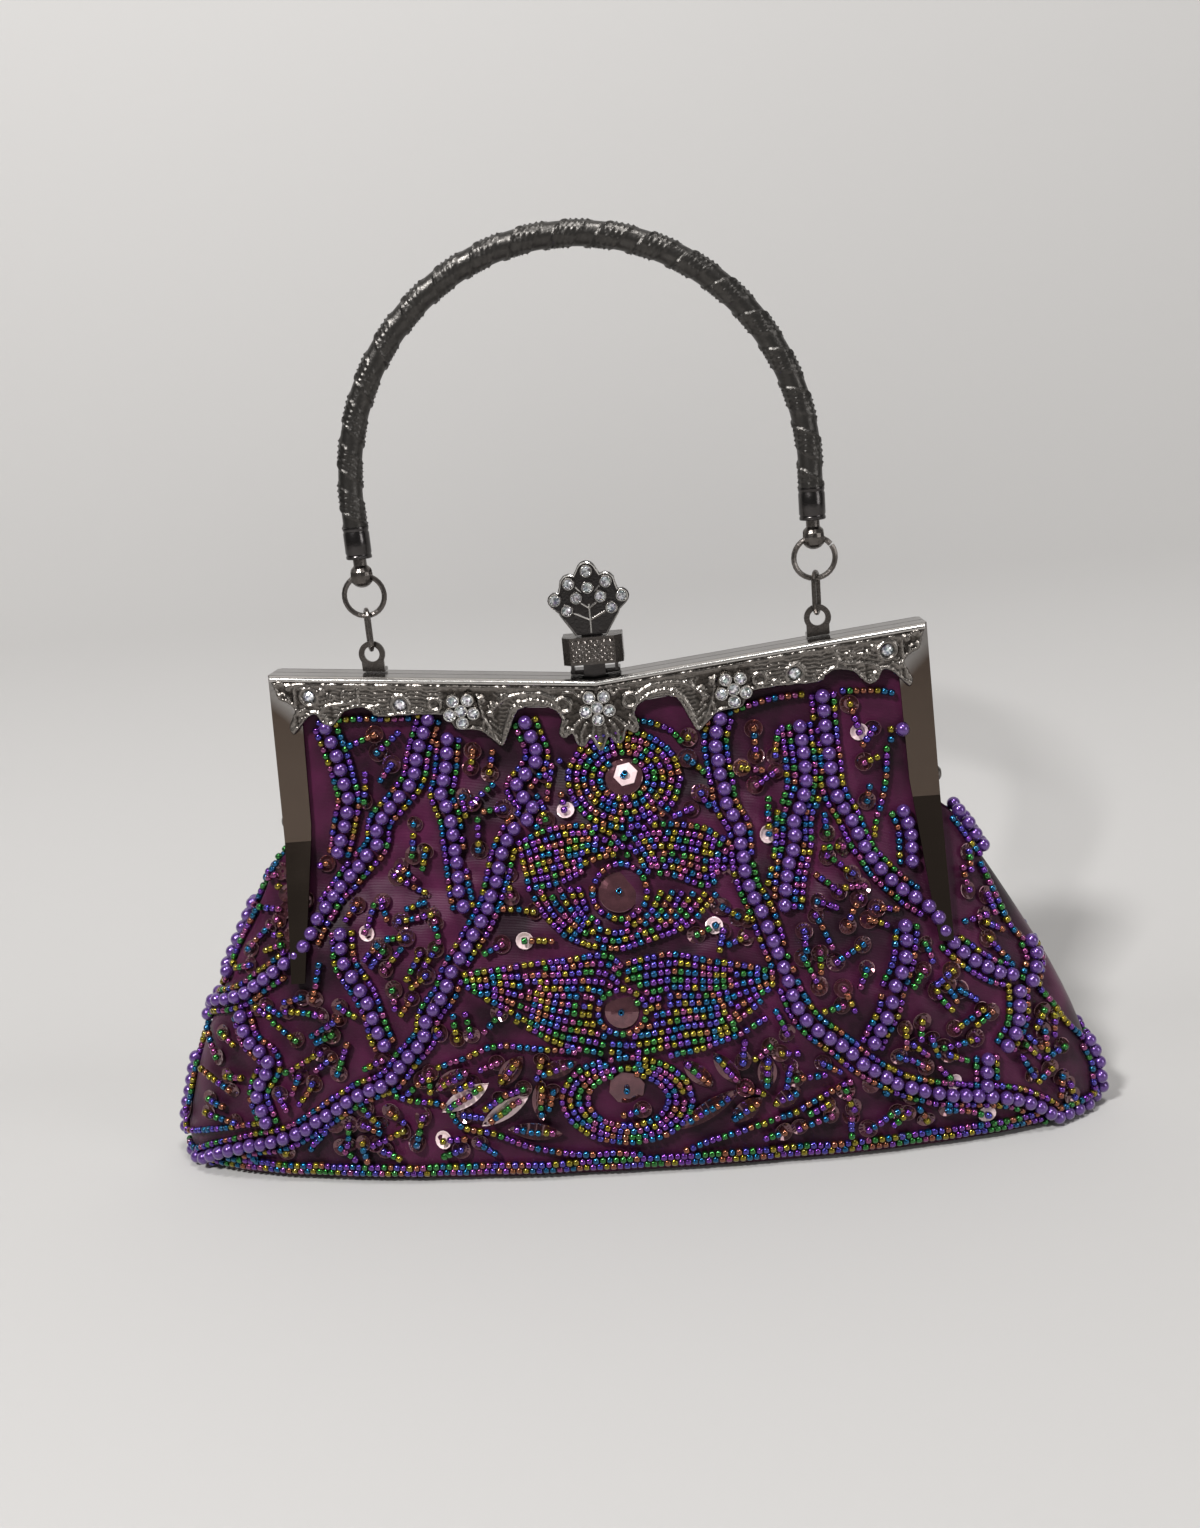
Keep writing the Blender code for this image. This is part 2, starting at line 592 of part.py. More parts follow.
def body_ring(bm, row, edge_inset, inset):
    """Front and back halves of one ring, as lists from left to right."""
    height, dip, half_width, half_depth, turned = row
    width = half_width - (edge_inset if dip > 0 else inset)
    front, back = [], []
    for i in range(BODY_COLUMNS + 1):
        x = width * math.sin(math.pi / 2 * (2 * i / BODY_COLUMNS - 1))
        z = height + dip * (rail_height(x) - RAIL_LOW)
        depth = section_depth(x, width, half_depth, turned, inset)
        front.append(bm.verts.new((x, -depth, z)))
        back.append(bm.verts.new((x, depth, z)))
    return front, back


def make_body(name, slot, inset, thickness, lift):
    """A bag with slits at both sides of its mouth, as one closed wall: its object, its surface."""
    rows = body_rows()
    slit = sum(1 for row in rows if row[1] > 0)
    bm = bmesh.new()
    outer = [body_ring(bm, lifted_row(rows, row, lift), inset, inset) for row in rows]
    inner = [body_ring(bm, lifted_row(rows, row, lift + thickness), inset, inset + thickness)
             for row in rows]
    for j in range(len(rows) - 1):
        for half in (0, 1):
            for i in range(BODY_COLUMNS):
                for skin in (outer, inner):
                    bm.faces.new((skin[j][half][i], skin[j][half][i + 1],
                                  skin[j + 1][half][i + 1], skin[j + 1][half][i]))
        for end in (0, BODY_COLUMNS):
            if j >= slit:
                for skin in (outer, inner):
                    bm.faces.new((skin[j][0][end], skin[j + 1][0][end],
                                  skin[j + 1][1][end], skin[j][1][end]))
                continue
            for half in (0, 1):
                bm.faces.new((outer[j][half][end], outer[j + 1][half][end],
                              inner[j + 1][half][end], inner[j][half][end]))
    for half in (0, 1):
        for i in range(BODY_COLUMNS):
            bm.faces.new((outer[0][half][i], outer[0][half][i + 1],
                          inner[0][half][i + 1], inner[0][half][i]))
    for end in (0, BODY_COLUMNS):
        bm.faces.new((outer[slit][0][end], outer[slit][1][end],
                      inner[slit][1][end], inner[slit][0][end]))
    for skin in (outer, inner):
        bm.faces.new(skin[-1][0] + list(reversed(skin[-1][1])))
    bm.normal_update()
    surface = BVHTree.FromBMesh(bm)
    return add_object(name, bm, slot, CAST_ANGLE), surface


def body_half_width(z):
    """Half width of the body at a height, between the rows above and below it."""
    rows = body_rows()
    for above, below in zip(rows, rows[1:]):
        if z >= below[0]:
            part = (z - below[0]) / (above[0] - below[0])
            return below[2] + (above[2] - below[2]) * part


def route_points(shares):
    """Places a step apart on a smooth curve through a string's points."""
    points = []
    for wide, high in shares:
        height = FRAME_HEIGHT * high
        points.append(Vector((body_half_width(height) * wide, 0, height)))
    ends = [2 * points[0] - points[1]] + points + [2 * points[-1] - points[-2]]
    places = []
    for a, b, c, d in zip(ends, ends[1:], ends[2:], ends[3:]):
        steps = max(1, round((c - b).length / STRING_STEP))
        for k in range(steps):
            t = k / steps
            places.append((2 * b + (c - a) * t + (2 * a - 5 * b + 4 * c - d) * t ** 2
                           + (3 * b - a - 3 * c + d) * t ** 3) / 2)
    return places + [points[-1]]


def landed(surface, place, side):
    """Where a line along Y meets one face of the shell, and the outward direction there."""
    away = Vector((0, side, 0))
    hit, normal, _, _ = surface.ray_cast(place + away, -away)
    return hit, normal if normal.dot(away) > 0 else -normal


def make_string(shares, side, surface):
    """One string of pearls as a rib along the satin, flat on top."""
    bm = bmesh.new()
    middles = [landed(surface, place, side) for place in route_points(shares)]
    rings = []
    for i, (place, normal) in enumerate(middles):
        along = middles[min(i + 1, len(middles) - 1)][0] - middles[max(i - 1, 0)][0]
        across = normal.cross(along).normalized()
        edges = [landed(surface, place + across * half, side)[0] - normal * STRING_ROOT
                 for half in (STRING_HALF_WIDTH, -STRING_HALF_WIDTH)]
        tops = [place + across * half + normal * STRING_HEIGHT
                for half in (STRING_TOP_HALF_WIDTH, -STRING_TOP_HALF_WIDTH)]
        rings.append([bm.verts.new(co) for co in (edges[0], tops[0], tops[1], edges[1])])
    for first, second in zip(rings, rings[1:]):
        for k in range(len(first)):
            j = (k + 1) % len(first)
            bm.faces.new((first[k], first[j], second[j], second[k]))
    bm.faces.new(reversed(rings[0]))
    bm.faces.new(rings[-1])
    return bm


def make_shell():
    """Satin shell with the strings of pearls raised on both its faces."""
    shell, surface = make_body("bag_shell", "satin", 0, SHELL_THICKNESS, 0)
    for side in (-1, 1):
        strings = merge([make_string(shares, side, surface) for shares in STRING_SHARES])
        combine(shell, add_object("bag_shell_strings_%d" % (side + 1), strings), "UNION")


def make_base_board():
    """Card that keeps the base flat, between the shell and the lining."""
    wide, deep = LOWER_ROW_SHARES[-1][1:]
    side = fabric_half_width(SLIT_HEIGHT)
    depth = FABRIC_DEPTH + PANEL_BULGE
    margin = SHELL_THICKNESS + 3 * CLEARANCE
    half_width = side + (BASE_HALF_WIDTH - side) * wide - margin
    half_depth = depth + (BASE_HALF_DEPTH - depth) * deep - margin
    outline = []
    for k in range(BOARD_POINTS):
        angle = 2 * math.pi * k / BOARD_POINTS
        power = 2 / SECTION_POWER
        x = math.copysign(abs(math.cos(angle)) ** power, math.cos(angle)) * half_width
        y = math.copysign(abs(math.sin(angle)) ** power, math.sin(angle)) * half_depth
        outline.append((x, y))
    low = SHELL_THICKNESS + CLEARANCE
    add_object("base_board", prism(outline, low, low + BOARD_THICKNESS, "Z"), "card")


# Ornament castings and flowers

def make_filigree(name, side):
    """Cast ornament: a half-round rim along the rail and a scrolled plate below it."""
    near = JAW_DEPTH + CLEARANCE
    half = HALF_FRAME - ORNAMENT_SIDE_MARGIN
    right = [(0, RAIL_LOW - RIM_HEIGHT / 2), (half, rail_height(half) - RIM_HEIGHT / 2)]
    for wide, deep in reversed(ORNAMENT_OUTLINE_SHARES):
        x = wide * half
        right.append((x, rail_height(x) - deep * ORNAMENT_DROP))
    plate = add_object(name, side_prism(mirrored(right), side, near, near + ORNAMENT_PLATE),
                       "pewter")
    rim_points = []
    for k in range(RIM_STEPS + 1):
        angle = math.pi * k / RIM_STEPS
        rim_points.append((near + RIM_DEPTH * math.sin(angle),
                           RIM_HEIGHT / 2 * math.cos(angle) - RIM_HEIGHT / 2))
    rings = []
    bm = bmesh.new()
    for x, top in ((-half, rail_height(half)), (0, RAIL_LOW), (half, rail_height(half))):
        rings.append([bm.verts.new((x, side * y, top + z)) for y, z in rim_points])
    for first, second in zip(rings, rings[1:]):
        for k in range(len(rim_points)):
            j = (k + 1) % len(rim_points)
            bm.faces.new((first[k], first[j], second[j], second[k]))
    bm.faces.new(rings[0])
    bm.faces.new(reversed(rings[-1]))
    combine(plate, add_object(name + "_rim", bm), "UNION")
    return plate


def make_flower(name, side, x, drop):
    """Setting for six small stones: a disc with a lobe pointing down and four more."""
    near = JAW_DEPTH + ORNAMENT_PLATE + 2 * CLEARANCE
    outline = []
    steps = FLOWER_PETALS * 6
    for k in range(steps):
        angle = 2 * math.pi * k / steps
        lobe = abs(math.cos(FLOWER_PETALS / 2 * angle))
        radius = FLOWER_RADIUS * (1 - FLOWER_LOBE_SHARE * (1 - lobe))
        outline.append((x + radius * math.sin(angle),
                        rail_height(x) - drop - radius * math.cos(angle)))
    add_object(name, side_prism(outline, side, near, near + FLOWER_THICKNESS), "pewter")


# Handle and its chain

def eye_height():
    return rail_height(TAB_SPACING / 2) + EYE_RISE


def eye_rim_height():
    """Middle of the metal above the eye's hole: the link swings about it."""
    return eye_height() + (EYE_RADIUS + EYE_HOLE_RADIUS) / 2


def link_low():
    return eye_height() + EYE_HOLE_RADIUS - CLEARANCE - LINK_WIRE


def ring_low():
    """Middle of the ring's wire where the link holds it."""
    return link_low() + LINK_LENGTH - LINK_WIRE - CLEARANCE - RING_WIRE / 2


def ball_height():
    return ring_low() + 2 * RING_RADIUS


def make_tab(name, hand):
    """Eye plate on a foot that follows the slope of the back rail."""
    x = hand * TAB_SPACING / 2
    near = TAB_PLANE - TAB_THICKNESS / 2
    far = TAB_PLANE + TAB_THICKNESS / 2
    half = TAB_FOOT_WIDTH / 2
    ends = [(x + s * half, rail_height(x + s * half) + CLEARANCE) for s in (-1, 1)]
    foot = [ends[0], ends[1], (ends[1][0], ends[1][1] + TAB_FOOT_THICKNESS),
            (ends[0][0], ends[0][1] + TAB_FOOT_THICKNESS)]
    tab = add_object(name, prism(foot, near, JAW_DEPTH - CLEARANCE), "dark_metal")
    eye = cylinder(EYE_RADIUS, near, far, "Y", (x, 0, eye_height()), EYE_SIDES)
    combine(tab, add_object(name + "_eye", eye), "UNION")
    neck = prism([ends[0], ends[1], (x + half, eye_height()), (x - half, eye_height())],
                 near, far)
    combine(tab, add_object(name + "_neck", neck), "UNION")
    hole = cylinder(EYE_HOLE_RADIUS, near - OVERRUN, far + OVERRUN, "Y",
                    (x, 0, eye_height()), EYE_HOLE_SIDES)
    combine(tab, add_object(name + "_hole", hole), "DIFFERENCE")


def make_link(name, hand):
    """Oval wire link, standing up and turned a little towards the front."""
    middle = Vector((hand * TAB_SPACING / 2, TAB_PLANE, link_low() + LINK_LENGTH / 2))
    turn = hand * LINK_TURN
    wide = Vector((math.sin(turn), math.cos(turn), 0))
    across = Vector((math.cos(turn), -math.sin(turn), 0))
    radius = (LINK_WIDTH - LINK_WIRE) / 2
    straight = (LINK_LENGTH - LINK_WIDTH) / 2
    path = []
    for end in (1, -1):
        for k in range(LINK_STEPS + 1):
            angle = math.pi * k / LINK_STEPS
            path.append(middle + wide * (end * radius * math.cos(angle))
                        + Vector((0, 0, end * (straight + radius * math.sin(angle)))))
    add_object(name, tube(path, [LINK_WIRE / 2] * len(path), WIRE_SIDES, across, closed=True),
               "dark_metal", WIRE_ANGLE)


def make_ring(name, hand):
    """Split ring of round wire; the right one shows its split, the left hides it in the ball."""
    middle = Vector((hand * TAB_SPACING / 2, TAB_PLANE, ring_low() + RING_RADIUS))
    split_at = RIGHT_SPLIT_ANGLE if hand > 0 else LEFT_SPLIT_ANGLE
    half_gap = RING_SPLIT / 2 / RING_RADIUS
    path = []
    for k in range(RING_STEPS + 1):
        angle = split_at + half_gap + (2 * math.pi - 2 * half_gap) * k / RING_STEPS
        path.append(middle + RING_RADIUS * Vector((math.cos(angle), 0, math.sin(angle))))
    add_object(name, tube(path, [RING_WIRE / 2] * len(path), WIRE_SIDES, Vector((0, 1, 0))),
               "dark_metal", WIRE_ANGLE)


def make_ball_tip(name, hand):
    """Ball pierced for the ring, with a neck and a flange held inside the ferrule."""
    centre = (hand * TAB_SPACING / 2, TAB_PLANE, ball_height())
    neck_start = math.asin(NECK_RADIUS / BALL_RADIUS)
    profile = []
    for k in range(BALL_STEPS + 1):
        angle = -math.pi / 2 + (math.pi - neck_start) * k / BALL_STEPS
        profile.append((BALL_RADIUS * math.cos(angle) if k else 0,
                        BALL_RADIUS * math.sin(angle)))
    flange = BALL_RADIUS + NECK_LENGTH + FERRULE_WALL + CLEARANCE
    profile += [(NECK_RADIUS, flange), (TIP_FLANGE_RADIUS, flange),
                (TIP_FLANGE_RADIUS, flange + TIP_FLANGE_THICKNESS),
                (0, flange + TIP_FLANGE_THICKNESS)]
    tip = add_object(name, lathe(profile, "Z", centre, BALL_SIDES), "dark_metal", CAST_ANGLE)
    # the hole widens towards its mouths, to let the curved ring through
    reach = BALL_RADIUS + OVERRUN
    steps = [reach * (2 * k / BALL_STEPS - 1) for k in range(BALL_STEPS + 1)]
    waist = [(BALL_HOLE_RADIUS + BALL_HOLE_FLARE_SHARE * step ** 2 / (2 * RING_RADIUS), step)
             for step in steps]
    hole = lathe([(0, -reach)] + waist + [(0, reach)], "X", centre, BALL_HOLE_SIDES)
    combine(tip, add_object(name + "_hole", hole), "DIFFERENCE")


def ferrule_low():
    return ball_height() + BALL_RADIUS + NECK_LENGTH


def make_ferrule(name, hand):
    """Turned cup that holds the rope's end; the ball's neck passes through its floor."""
    hole = NECK_RADIUS + CLEARANCE
    inside = FERRULE_RADIUS - FERRULE_WALL
    edge = FERRULE_WALL / 2
    profile = ((hole, 0), (FERRULE_RADIUS - edge, 0), (FERRULE_RADIUS, edge),
               (FERRULE_RADIUS, FERRULE_LENGTH - edge), (FERRULE_RADIUS - edge, FERRULE_LENGTH),
               (inside, FERRULE_LENGTH), (inside, FERRULE_WALL), (hole, FERRULE_WALL))
    centre = (hand * TAB_SPACING / 2, TAB_PLANE, ferrule_low())
    add_object(name, lathe(profile, "Z", centre, FERRULE_SIDES), "dark_metal", TURNED_ANGLE)


def make_grip():
    """Rope handle: two straight legs and a half-ellipse arch, with thinner ends."""
    start = ferrule_low() + FERRULE_WALL + TIP_FLANGE_THICKNESS + 3 * CLEARANCE
    shoulder = ferrule_low() + FERRULE_LENGTH + CLEARANCE
    spring = ferrule_low() + HANDLE_LEG_LENGTH
    half = TAB_SPACING / 2
    leg = [(start, ROPE_END_DIAMETER), (shoulder - CLEARANCE / 3, ROPE_END_DIAMETER),
           (shoulder, ROPE_DIAMETER)]
    path = [Vector((half, TAB_PLANE, height)) for height, _ in leg]
    radii = [width / 2 for _, width in leg]
    for k in range(ARCH_STEPS + 1):
        angle = math.pi * k / ARCH_STEPS
        path.append(Vector((half * math.cos(angle), TAB_PLANE,
                            spring + HANDLE_ARCH_HEIGHT * math.sin(angle))))
        radii.append(ROPE_DIAMETER / 2)
    path += [Vector((-half, TAB_PLANE, height)) for height, _ in reversed(leg)]
    radii += [width / 2 for _, width in reversed(leg)]
    add_object("handle_grip", tube(path, radii, ROPE_SIDES, Vector((0, 1, 0))), "rope",
               ROPE_ANGLE)


# Clasp

def make_bracket():
    """Plate on the back rail with two ears for the pin."""
    low = [(-BRACKET_HALF_WIDTH, rail_height(BRACKET_HALF_WIDTH) + CLEARANCE),
           (0, RAIL_LOW + CLEARANCE),
           (BRACKET_HALF_WIDTH, rail_height(BRACKET_HALF_WIDTH) + CLEARANCE)]
    top = rail_height(BRACKET_HALF_WIDTH) + CLEARANCE + BRACKET_THICKNESS
    outline = low + [(BRACKET_HALF_WIDTH, top), (-BRACKET_HALF_WIDTH, top)]
    bracket = add_object("clasp_bracket", prism(outline, PARTING_GAP / 2, JAW_DEPTH),
                         "dark_metal")
    base = top - BRACKET_THICKNESS / 2
    for i, hand in enumerate((-1, 1)):
        inner = hand * (BRACKET_EAR_PLACE - BRACKET_EAR_THICKNESS / 2)
        outer = hand * (BRACKET_EAR_PLACE + BRACKET_EAR_THICKNESS / 2)
        ear = box(*sorted((inner, outer)), -BRACKET_EAR_FRONT, BRACKET_EAR_BACK,
                  base, top + BRACKET_EAR_HEIGHT)
        combine(bracket, add_object("clasp_bracket_ear_%d" % i, ear), "UNION")
    hole = cylinder(PIN_RADIUS + CLEARANCE, -BLOCK_WIDTH, BLOCK_WIDTH, "X",
                    (0, PIN_PLANE, PIN_HEIGHT), PIN_HOLE_SIDES)
    combine(bracket, add_object("clasp_bracket_hole", hole), "DIFFERENCE")
    return top


def block_outline(inset):
    """Plan of the block, with chamfered front corners."""
    half = BLOCK_WIDTH / 2 - inset
    front = -BLOCK_FRONT + inset
    back = BLOCK_BACK - inset
    cut = BLOCK_CHAMFER - inset / 2
    return [(-half, back), (-half, front + cut), (-half + cut, front), (half - cut, front),
            (half, front + cut), (half, back)]


def make_block():
    """Clasp block: a box open below, with pin holes and a slot for the ornament's tenon."""
    block = add_object("clasp_block", prism(block_outline(0), BLOCK_LOW, BLOCK_TOP, "Z"),
                       "dark_metal")
    pocket = prism(block_outline(BLOCK_WALL), BLOCK_LOW - OVERRUN, BLOCK_TOP - BLOCK_WALL, "Z")
    combine(block, add_object("clasp_block_pocket", pocket), "DIFFERENCE")
    hole = cylinder(PIN_RADIUS + CLEARANCE, -BLOCK_WIDTH, BLOCK_WIDTH, "X",
                    (0, PIN_PLANE, PIN_HEIGHT), PIN_HOLE_SIDES)
    combine(block, add_object("clasp_block_hole", hole), "DIFFERENCE")
    middle = -FAN_FRONT + FAN_THICKNESS / 2
    slot_half = TENON_THICKNESS / 2 + CLEARANCE
    slot = box(-TENON_HALF_WIDTH - CLEARANCE, TENON_HALF_WIDTH + CLEARANCE,
               middle - slot_half, middle + slot_half,
               BLOCK_TOP - BLOCK_WALL - OVERRUN, BLOCK_TOP + OVERRUN)
    combine(block, add_object("clasp_block_slot", slot), "DIFFERENCE")


def make_tongue():
    """Catch tongue: it hangs from the block into the front rail's notch."""
    top = BLOCK_TOP - TENON_LENGTH - CLEARANCE
    bm = box(-TONGUE_HALF_WIDTH, TONGUE_HALF_WIDTH, -TONGUE_FRONT,
             -TONGUE_FRONT + TONGUE_THICKNESS, RAIL_LOW - TONGUE_REACH, top)
    add_object("clasp_tongue", bm, "dark_metal")


def make_pin():
    half = BLOCK_WIDTH / 2 - CLEARANCE
    bm = cylinder(PIN_RADIUS, -half, half, "X", (0, PIN_PLANE, PIN_HEIGHT), PIN_SIDES)
    add_object("clasp_pin", bm, "dark_metal", TURNED_ANGLE)


def make_spring(plate_top):
    """Leaf spring between the bracket and the block's back wall: it holds the block upright."""
    wall = BLOCK_BACK - BLOCK_WALL - CLEARANCE - SPRING_STRIP
    start = plate_top + CLEARANCE
    end = BLOCK_TOP - BLOCK_WALL - 4 * CLEARANCE
    rise = end - start
    line = [(PIN_PLANE, start), (wall - rise * SPRING_FOOT_SHARE, start),
            (wall, start + rise * SPRING_HEEL_SHARE), (wall, start + rise * SPRING_BELLY_SHARE),
            (wall - rise * SPRING_LEAN_SHARE, end)]
    far = [(y + SPRING_STRIP * (1 if i > 1 else 0), z + SPRING_STRIP * (1 if i < 2 else 0))
           for i, (y, z) in enumerate(line)]
    far[1] = (line[1][0] - SPRING_STRIP / 2, start + SPRING_STRIP)
    outline = line[:2] + [(y + SPRING_STRIP, z) for y, z in line[2:]]
    outline += [(y, z) for y, z in reversed(line[2:])]
    outline += [far[1], far[0]]
    add_object("clasp_spring", prism(outline, -SPRING_HALF_WIDTH, SPRING_HALF_WIDTH, "X"),
               "gunmetal")


def fan_outline():
    right = [(FAN_NECK_HALF_WIDTH, 0)]
    for wide, high, radius, first, last in FAN_LOBE_SHARES:
        for k in range(FAN_LOBE_STEPS + 1):
            angle = math.radians(first + (last - first) * k / FAN_LOBE_STEPS)
            place = wide * FAN_HALF_WIDTH * FAN_LOBE_PLACE_SHARE
            right.append((place + radius * FAN_HEIGHT * math.cos(angle),
                          high * FAN_HEIGHT + radius * FAN_HEIGHT * math.sin(angle)))
    right = [(x, z) for x, z in right if x > CLEARANCE]
    top = (0, FAN_HEIGHT)
    outline = right + [top] + [(-x, z) for x, z in reversed(right)]
    low = BLOCK_TOP + CLEARANCE
    return [(x, low + z) for x, z in outline]


def stone_places():
    low = BLOCK_TOP + CLEARANCE
    return [(wide * FAN_HALF_WIDTH, low + high * FAN_HEIGHT)
            for wide, high in STONE_PLACE_SHARES]


def make_fan():
    """Fan-shaped ornament with ten stone seats and a tenon into the block."""
    face = -FAN_FRONT
    back = face + FAN_THICKNESS
    fan = add_object("clasp_ornament", prism(fan_outline(), face, back), "dark_metal")
    middle = (face + back) / 2
    tenon = box(-TENON_HALF_WIDTH, TENON_HALF_WIDTH, middle - TENON_THICKNESS / 2,
                middle + TENON_THICKNESS / 2, BLOCK_TOP - TENON_LENGTH,
                BLOCK_TOP + FAN_NECK_HALF_WIDTH)
    combine(fan, add_object("clasp_ornament_tenon", tenon), "UNION")
    bezels = [cylinder(BEZEL_RADIUS, face - BEZEL_HEIGHT, face + BEZEL_HEIGHT, "Y",
                       (x, 0, z), BEZEL_SIDES) for x, z in stone_places()]
    combine(fan, add_object("clasp_ornament_bezels", merge(bezels)), "UNION")
    pockets = [cylinder(STONE_RADIUS + CLEARANCE, face - OVERRUN,
                        face - BEZEL_HEIGHT + POCKET_DEPTH, "Y", (x, 0, z), POCKET_SIDES)
               for x, z in stone_places()]
    combine(fan, add_object("clasp_ornament_pockets", merge(pockets)), "DIFFERENCE")


def make_stones():
    """Ten faceted stones, each standing in its seat."""
    seat = -FAN_FRONT - BEZEL_HEIGHT + POCKET_DEPTH - CLEARANCE
    for i, (x, z) in enumerate(stone_places()):
        profile = ((0, 0), (STONE_RADIUS * STONE_BASE_SHARE, 0),
                   (STONE_RADIUS, -STONE_DEPTH * STONE_GIRDLE_SHARE),
                   (STONE_RADIUS * STONE_TABLE_SHARE, -STONE_DEPTH), (0, -STONE_DEPTH))
        add_object("clasp_stone_%02d" % (i + 1),
                   lathe(profile, "Y", (x, seat, z), STONE_FACETS), "crystal")


def build():
    clear_scene()
    make_shell()
    make_base_board()
    make_body("lining", "lining_cloth", LINING_INSET, LINING_THICKNESS, LINING_LIFT)
    for side, word in ((-1, "front"), (1, "back")):
        make_jaw(word + "_jaw", side)
        make_filigree(word + "_filigree", side)
        make_flower(word + "_flower_left", side, -FLOWER_SIDE_PLACE, FLOWER_SIDE_DROP)
        make_flower(word + "_flower_centre", side, 0, FLOWER_CENTRE_DROP)
        make_flower(word + "_flower_right", side, FLOWER_SIDE_PLACE, FLOWER_SIDE_DROP)
    for hand, word in ((-1, "left"), (1, "right")):
        make_rivet("hinge_rivet_" + word, hand)
        make_tab("handle_tab_" + word, hand)
        make_link("link_" + word, hand)
        make_ring("ring_" + word, hand)
        make_ball_tip("ball_tip_" + word, hand)
        make_ferrule("ferrule_" + word, hand)
    make_grip()
    plate_top = make_bracket()
    make_block()
    make_pin()
    make_spring(plate_top)
    make_tongue()
    make_fan()
    make_stones()


build()
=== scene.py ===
"""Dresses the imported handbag: metal finishes, satin, beadwork, stones and the camera's view."""

import json
import math
import random
from itertools import product

import bmesh
import bpy
import numpy as np
from mathutils import Matrix, Vector, noise
from mathutils.bvhtree import BVHTree
from mathutils.geometry import delaunay_2d_cdt

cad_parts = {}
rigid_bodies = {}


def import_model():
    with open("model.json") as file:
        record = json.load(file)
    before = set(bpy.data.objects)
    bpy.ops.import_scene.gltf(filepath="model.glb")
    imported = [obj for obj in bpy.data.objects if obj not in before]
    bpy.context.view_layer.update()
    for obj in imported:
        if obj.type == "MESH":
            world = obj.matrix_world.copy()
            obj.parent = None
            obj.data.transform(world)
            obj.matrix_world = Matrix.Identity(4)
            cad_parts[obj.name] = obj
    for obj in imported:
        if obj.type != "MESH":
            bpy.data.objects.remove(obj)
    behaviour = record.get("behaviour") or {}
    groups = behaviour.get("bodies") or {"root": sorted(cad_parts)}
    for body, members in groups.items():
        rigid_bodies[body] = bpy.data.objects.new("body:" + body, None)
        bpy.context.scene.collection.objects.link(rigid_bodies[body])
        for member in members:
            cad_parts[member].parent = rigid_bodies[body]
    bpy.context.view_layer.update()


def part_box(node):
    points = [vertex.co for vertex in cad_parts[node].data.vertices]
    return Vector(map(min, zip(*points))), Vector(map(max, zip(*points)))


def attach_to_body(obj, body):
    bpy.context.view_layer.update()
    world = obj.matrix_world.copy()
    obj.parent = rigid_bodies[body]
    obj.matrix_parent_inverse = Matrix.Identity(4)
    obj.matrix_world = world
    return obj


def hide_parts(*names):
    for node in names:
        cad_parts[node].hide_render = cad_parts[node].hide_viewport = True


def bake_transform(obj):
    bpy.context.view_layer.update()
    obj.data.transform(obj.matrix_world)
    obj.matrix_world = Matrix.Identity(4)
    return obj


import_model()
random.seed(7)
MM = 0.001
TINY = 1e-9
LEAST_SQUARE = 1e-12
CURVE_STEPS = 12

# Camera, fitted to the frame's corners, the base and the handle in the photograph
PHOTO_WIDTH = 1200
PHOTO_HEIGHT = 1528
FOCAL_PIXELS = 1321.0
SENSOR_HEIGHT_MM = 36.0
CAMERA_PLACE = Vector((0.01859, -0.31455, 0.17705))
CAMERA_YAW = -0.0620
CAMERA_PITCH = 0.2468
CAMERA_ROLL = -0.0912
CAMERA_CLIP = 0.01

# Surroundings
WALL_COLOUR = (0.43, 0.42, 0.41)
WORLD_COLOUR = (0.90, 0.89, 0.88)
WORLD_STRENGTH = 0.19
# Lamps: name, place, size and power
LAMPS = (
    ("key", (-0.40, -0.62, 0.85), (0.14, 0.10), 12.0),
    ("fill", (0.80, -0.55, 0.35), (0.30, 0.50), 2.0),
    ("top", (0.15, -0.30, 1.10), (0.20, 0.14), 5.5))
WALL_ROUGHNESS = 0.9
WALL_PLACE = 0.165
FLOOR_HEIGHT = -0.0006
BACKDROP_BEND = 0.12
BACKDROP_STEPS = 24
BACKDROP_FRONT = -2.0
BACKDROP_TOP = 2.0
BACKDROP_HALF_WIDTH = 2.5

# Frame, as packed
RAIL_TOP = 0.1270            # at the corners
RAIL_DIP = 0.0074
FRAME_HALF_WIDTH = 0.0785
RAIL_LOW = RAIL_TOP - RAIL_DIP
ORNAMENT_BACK = 0.0049
HANDLE_PLANE = 0.0010
HANDLE_HALF = 0.0539

# Heights between which the frame's metal goes from tarnished to polished
TARNISH = (0.105, 0.080, 0.064)
TARNISH_LOW = 0.1180
TARNISH_HIGH = 0.1225
TARNISH_SLOPE = 1.0          # the tarnish starts lower towards the middle

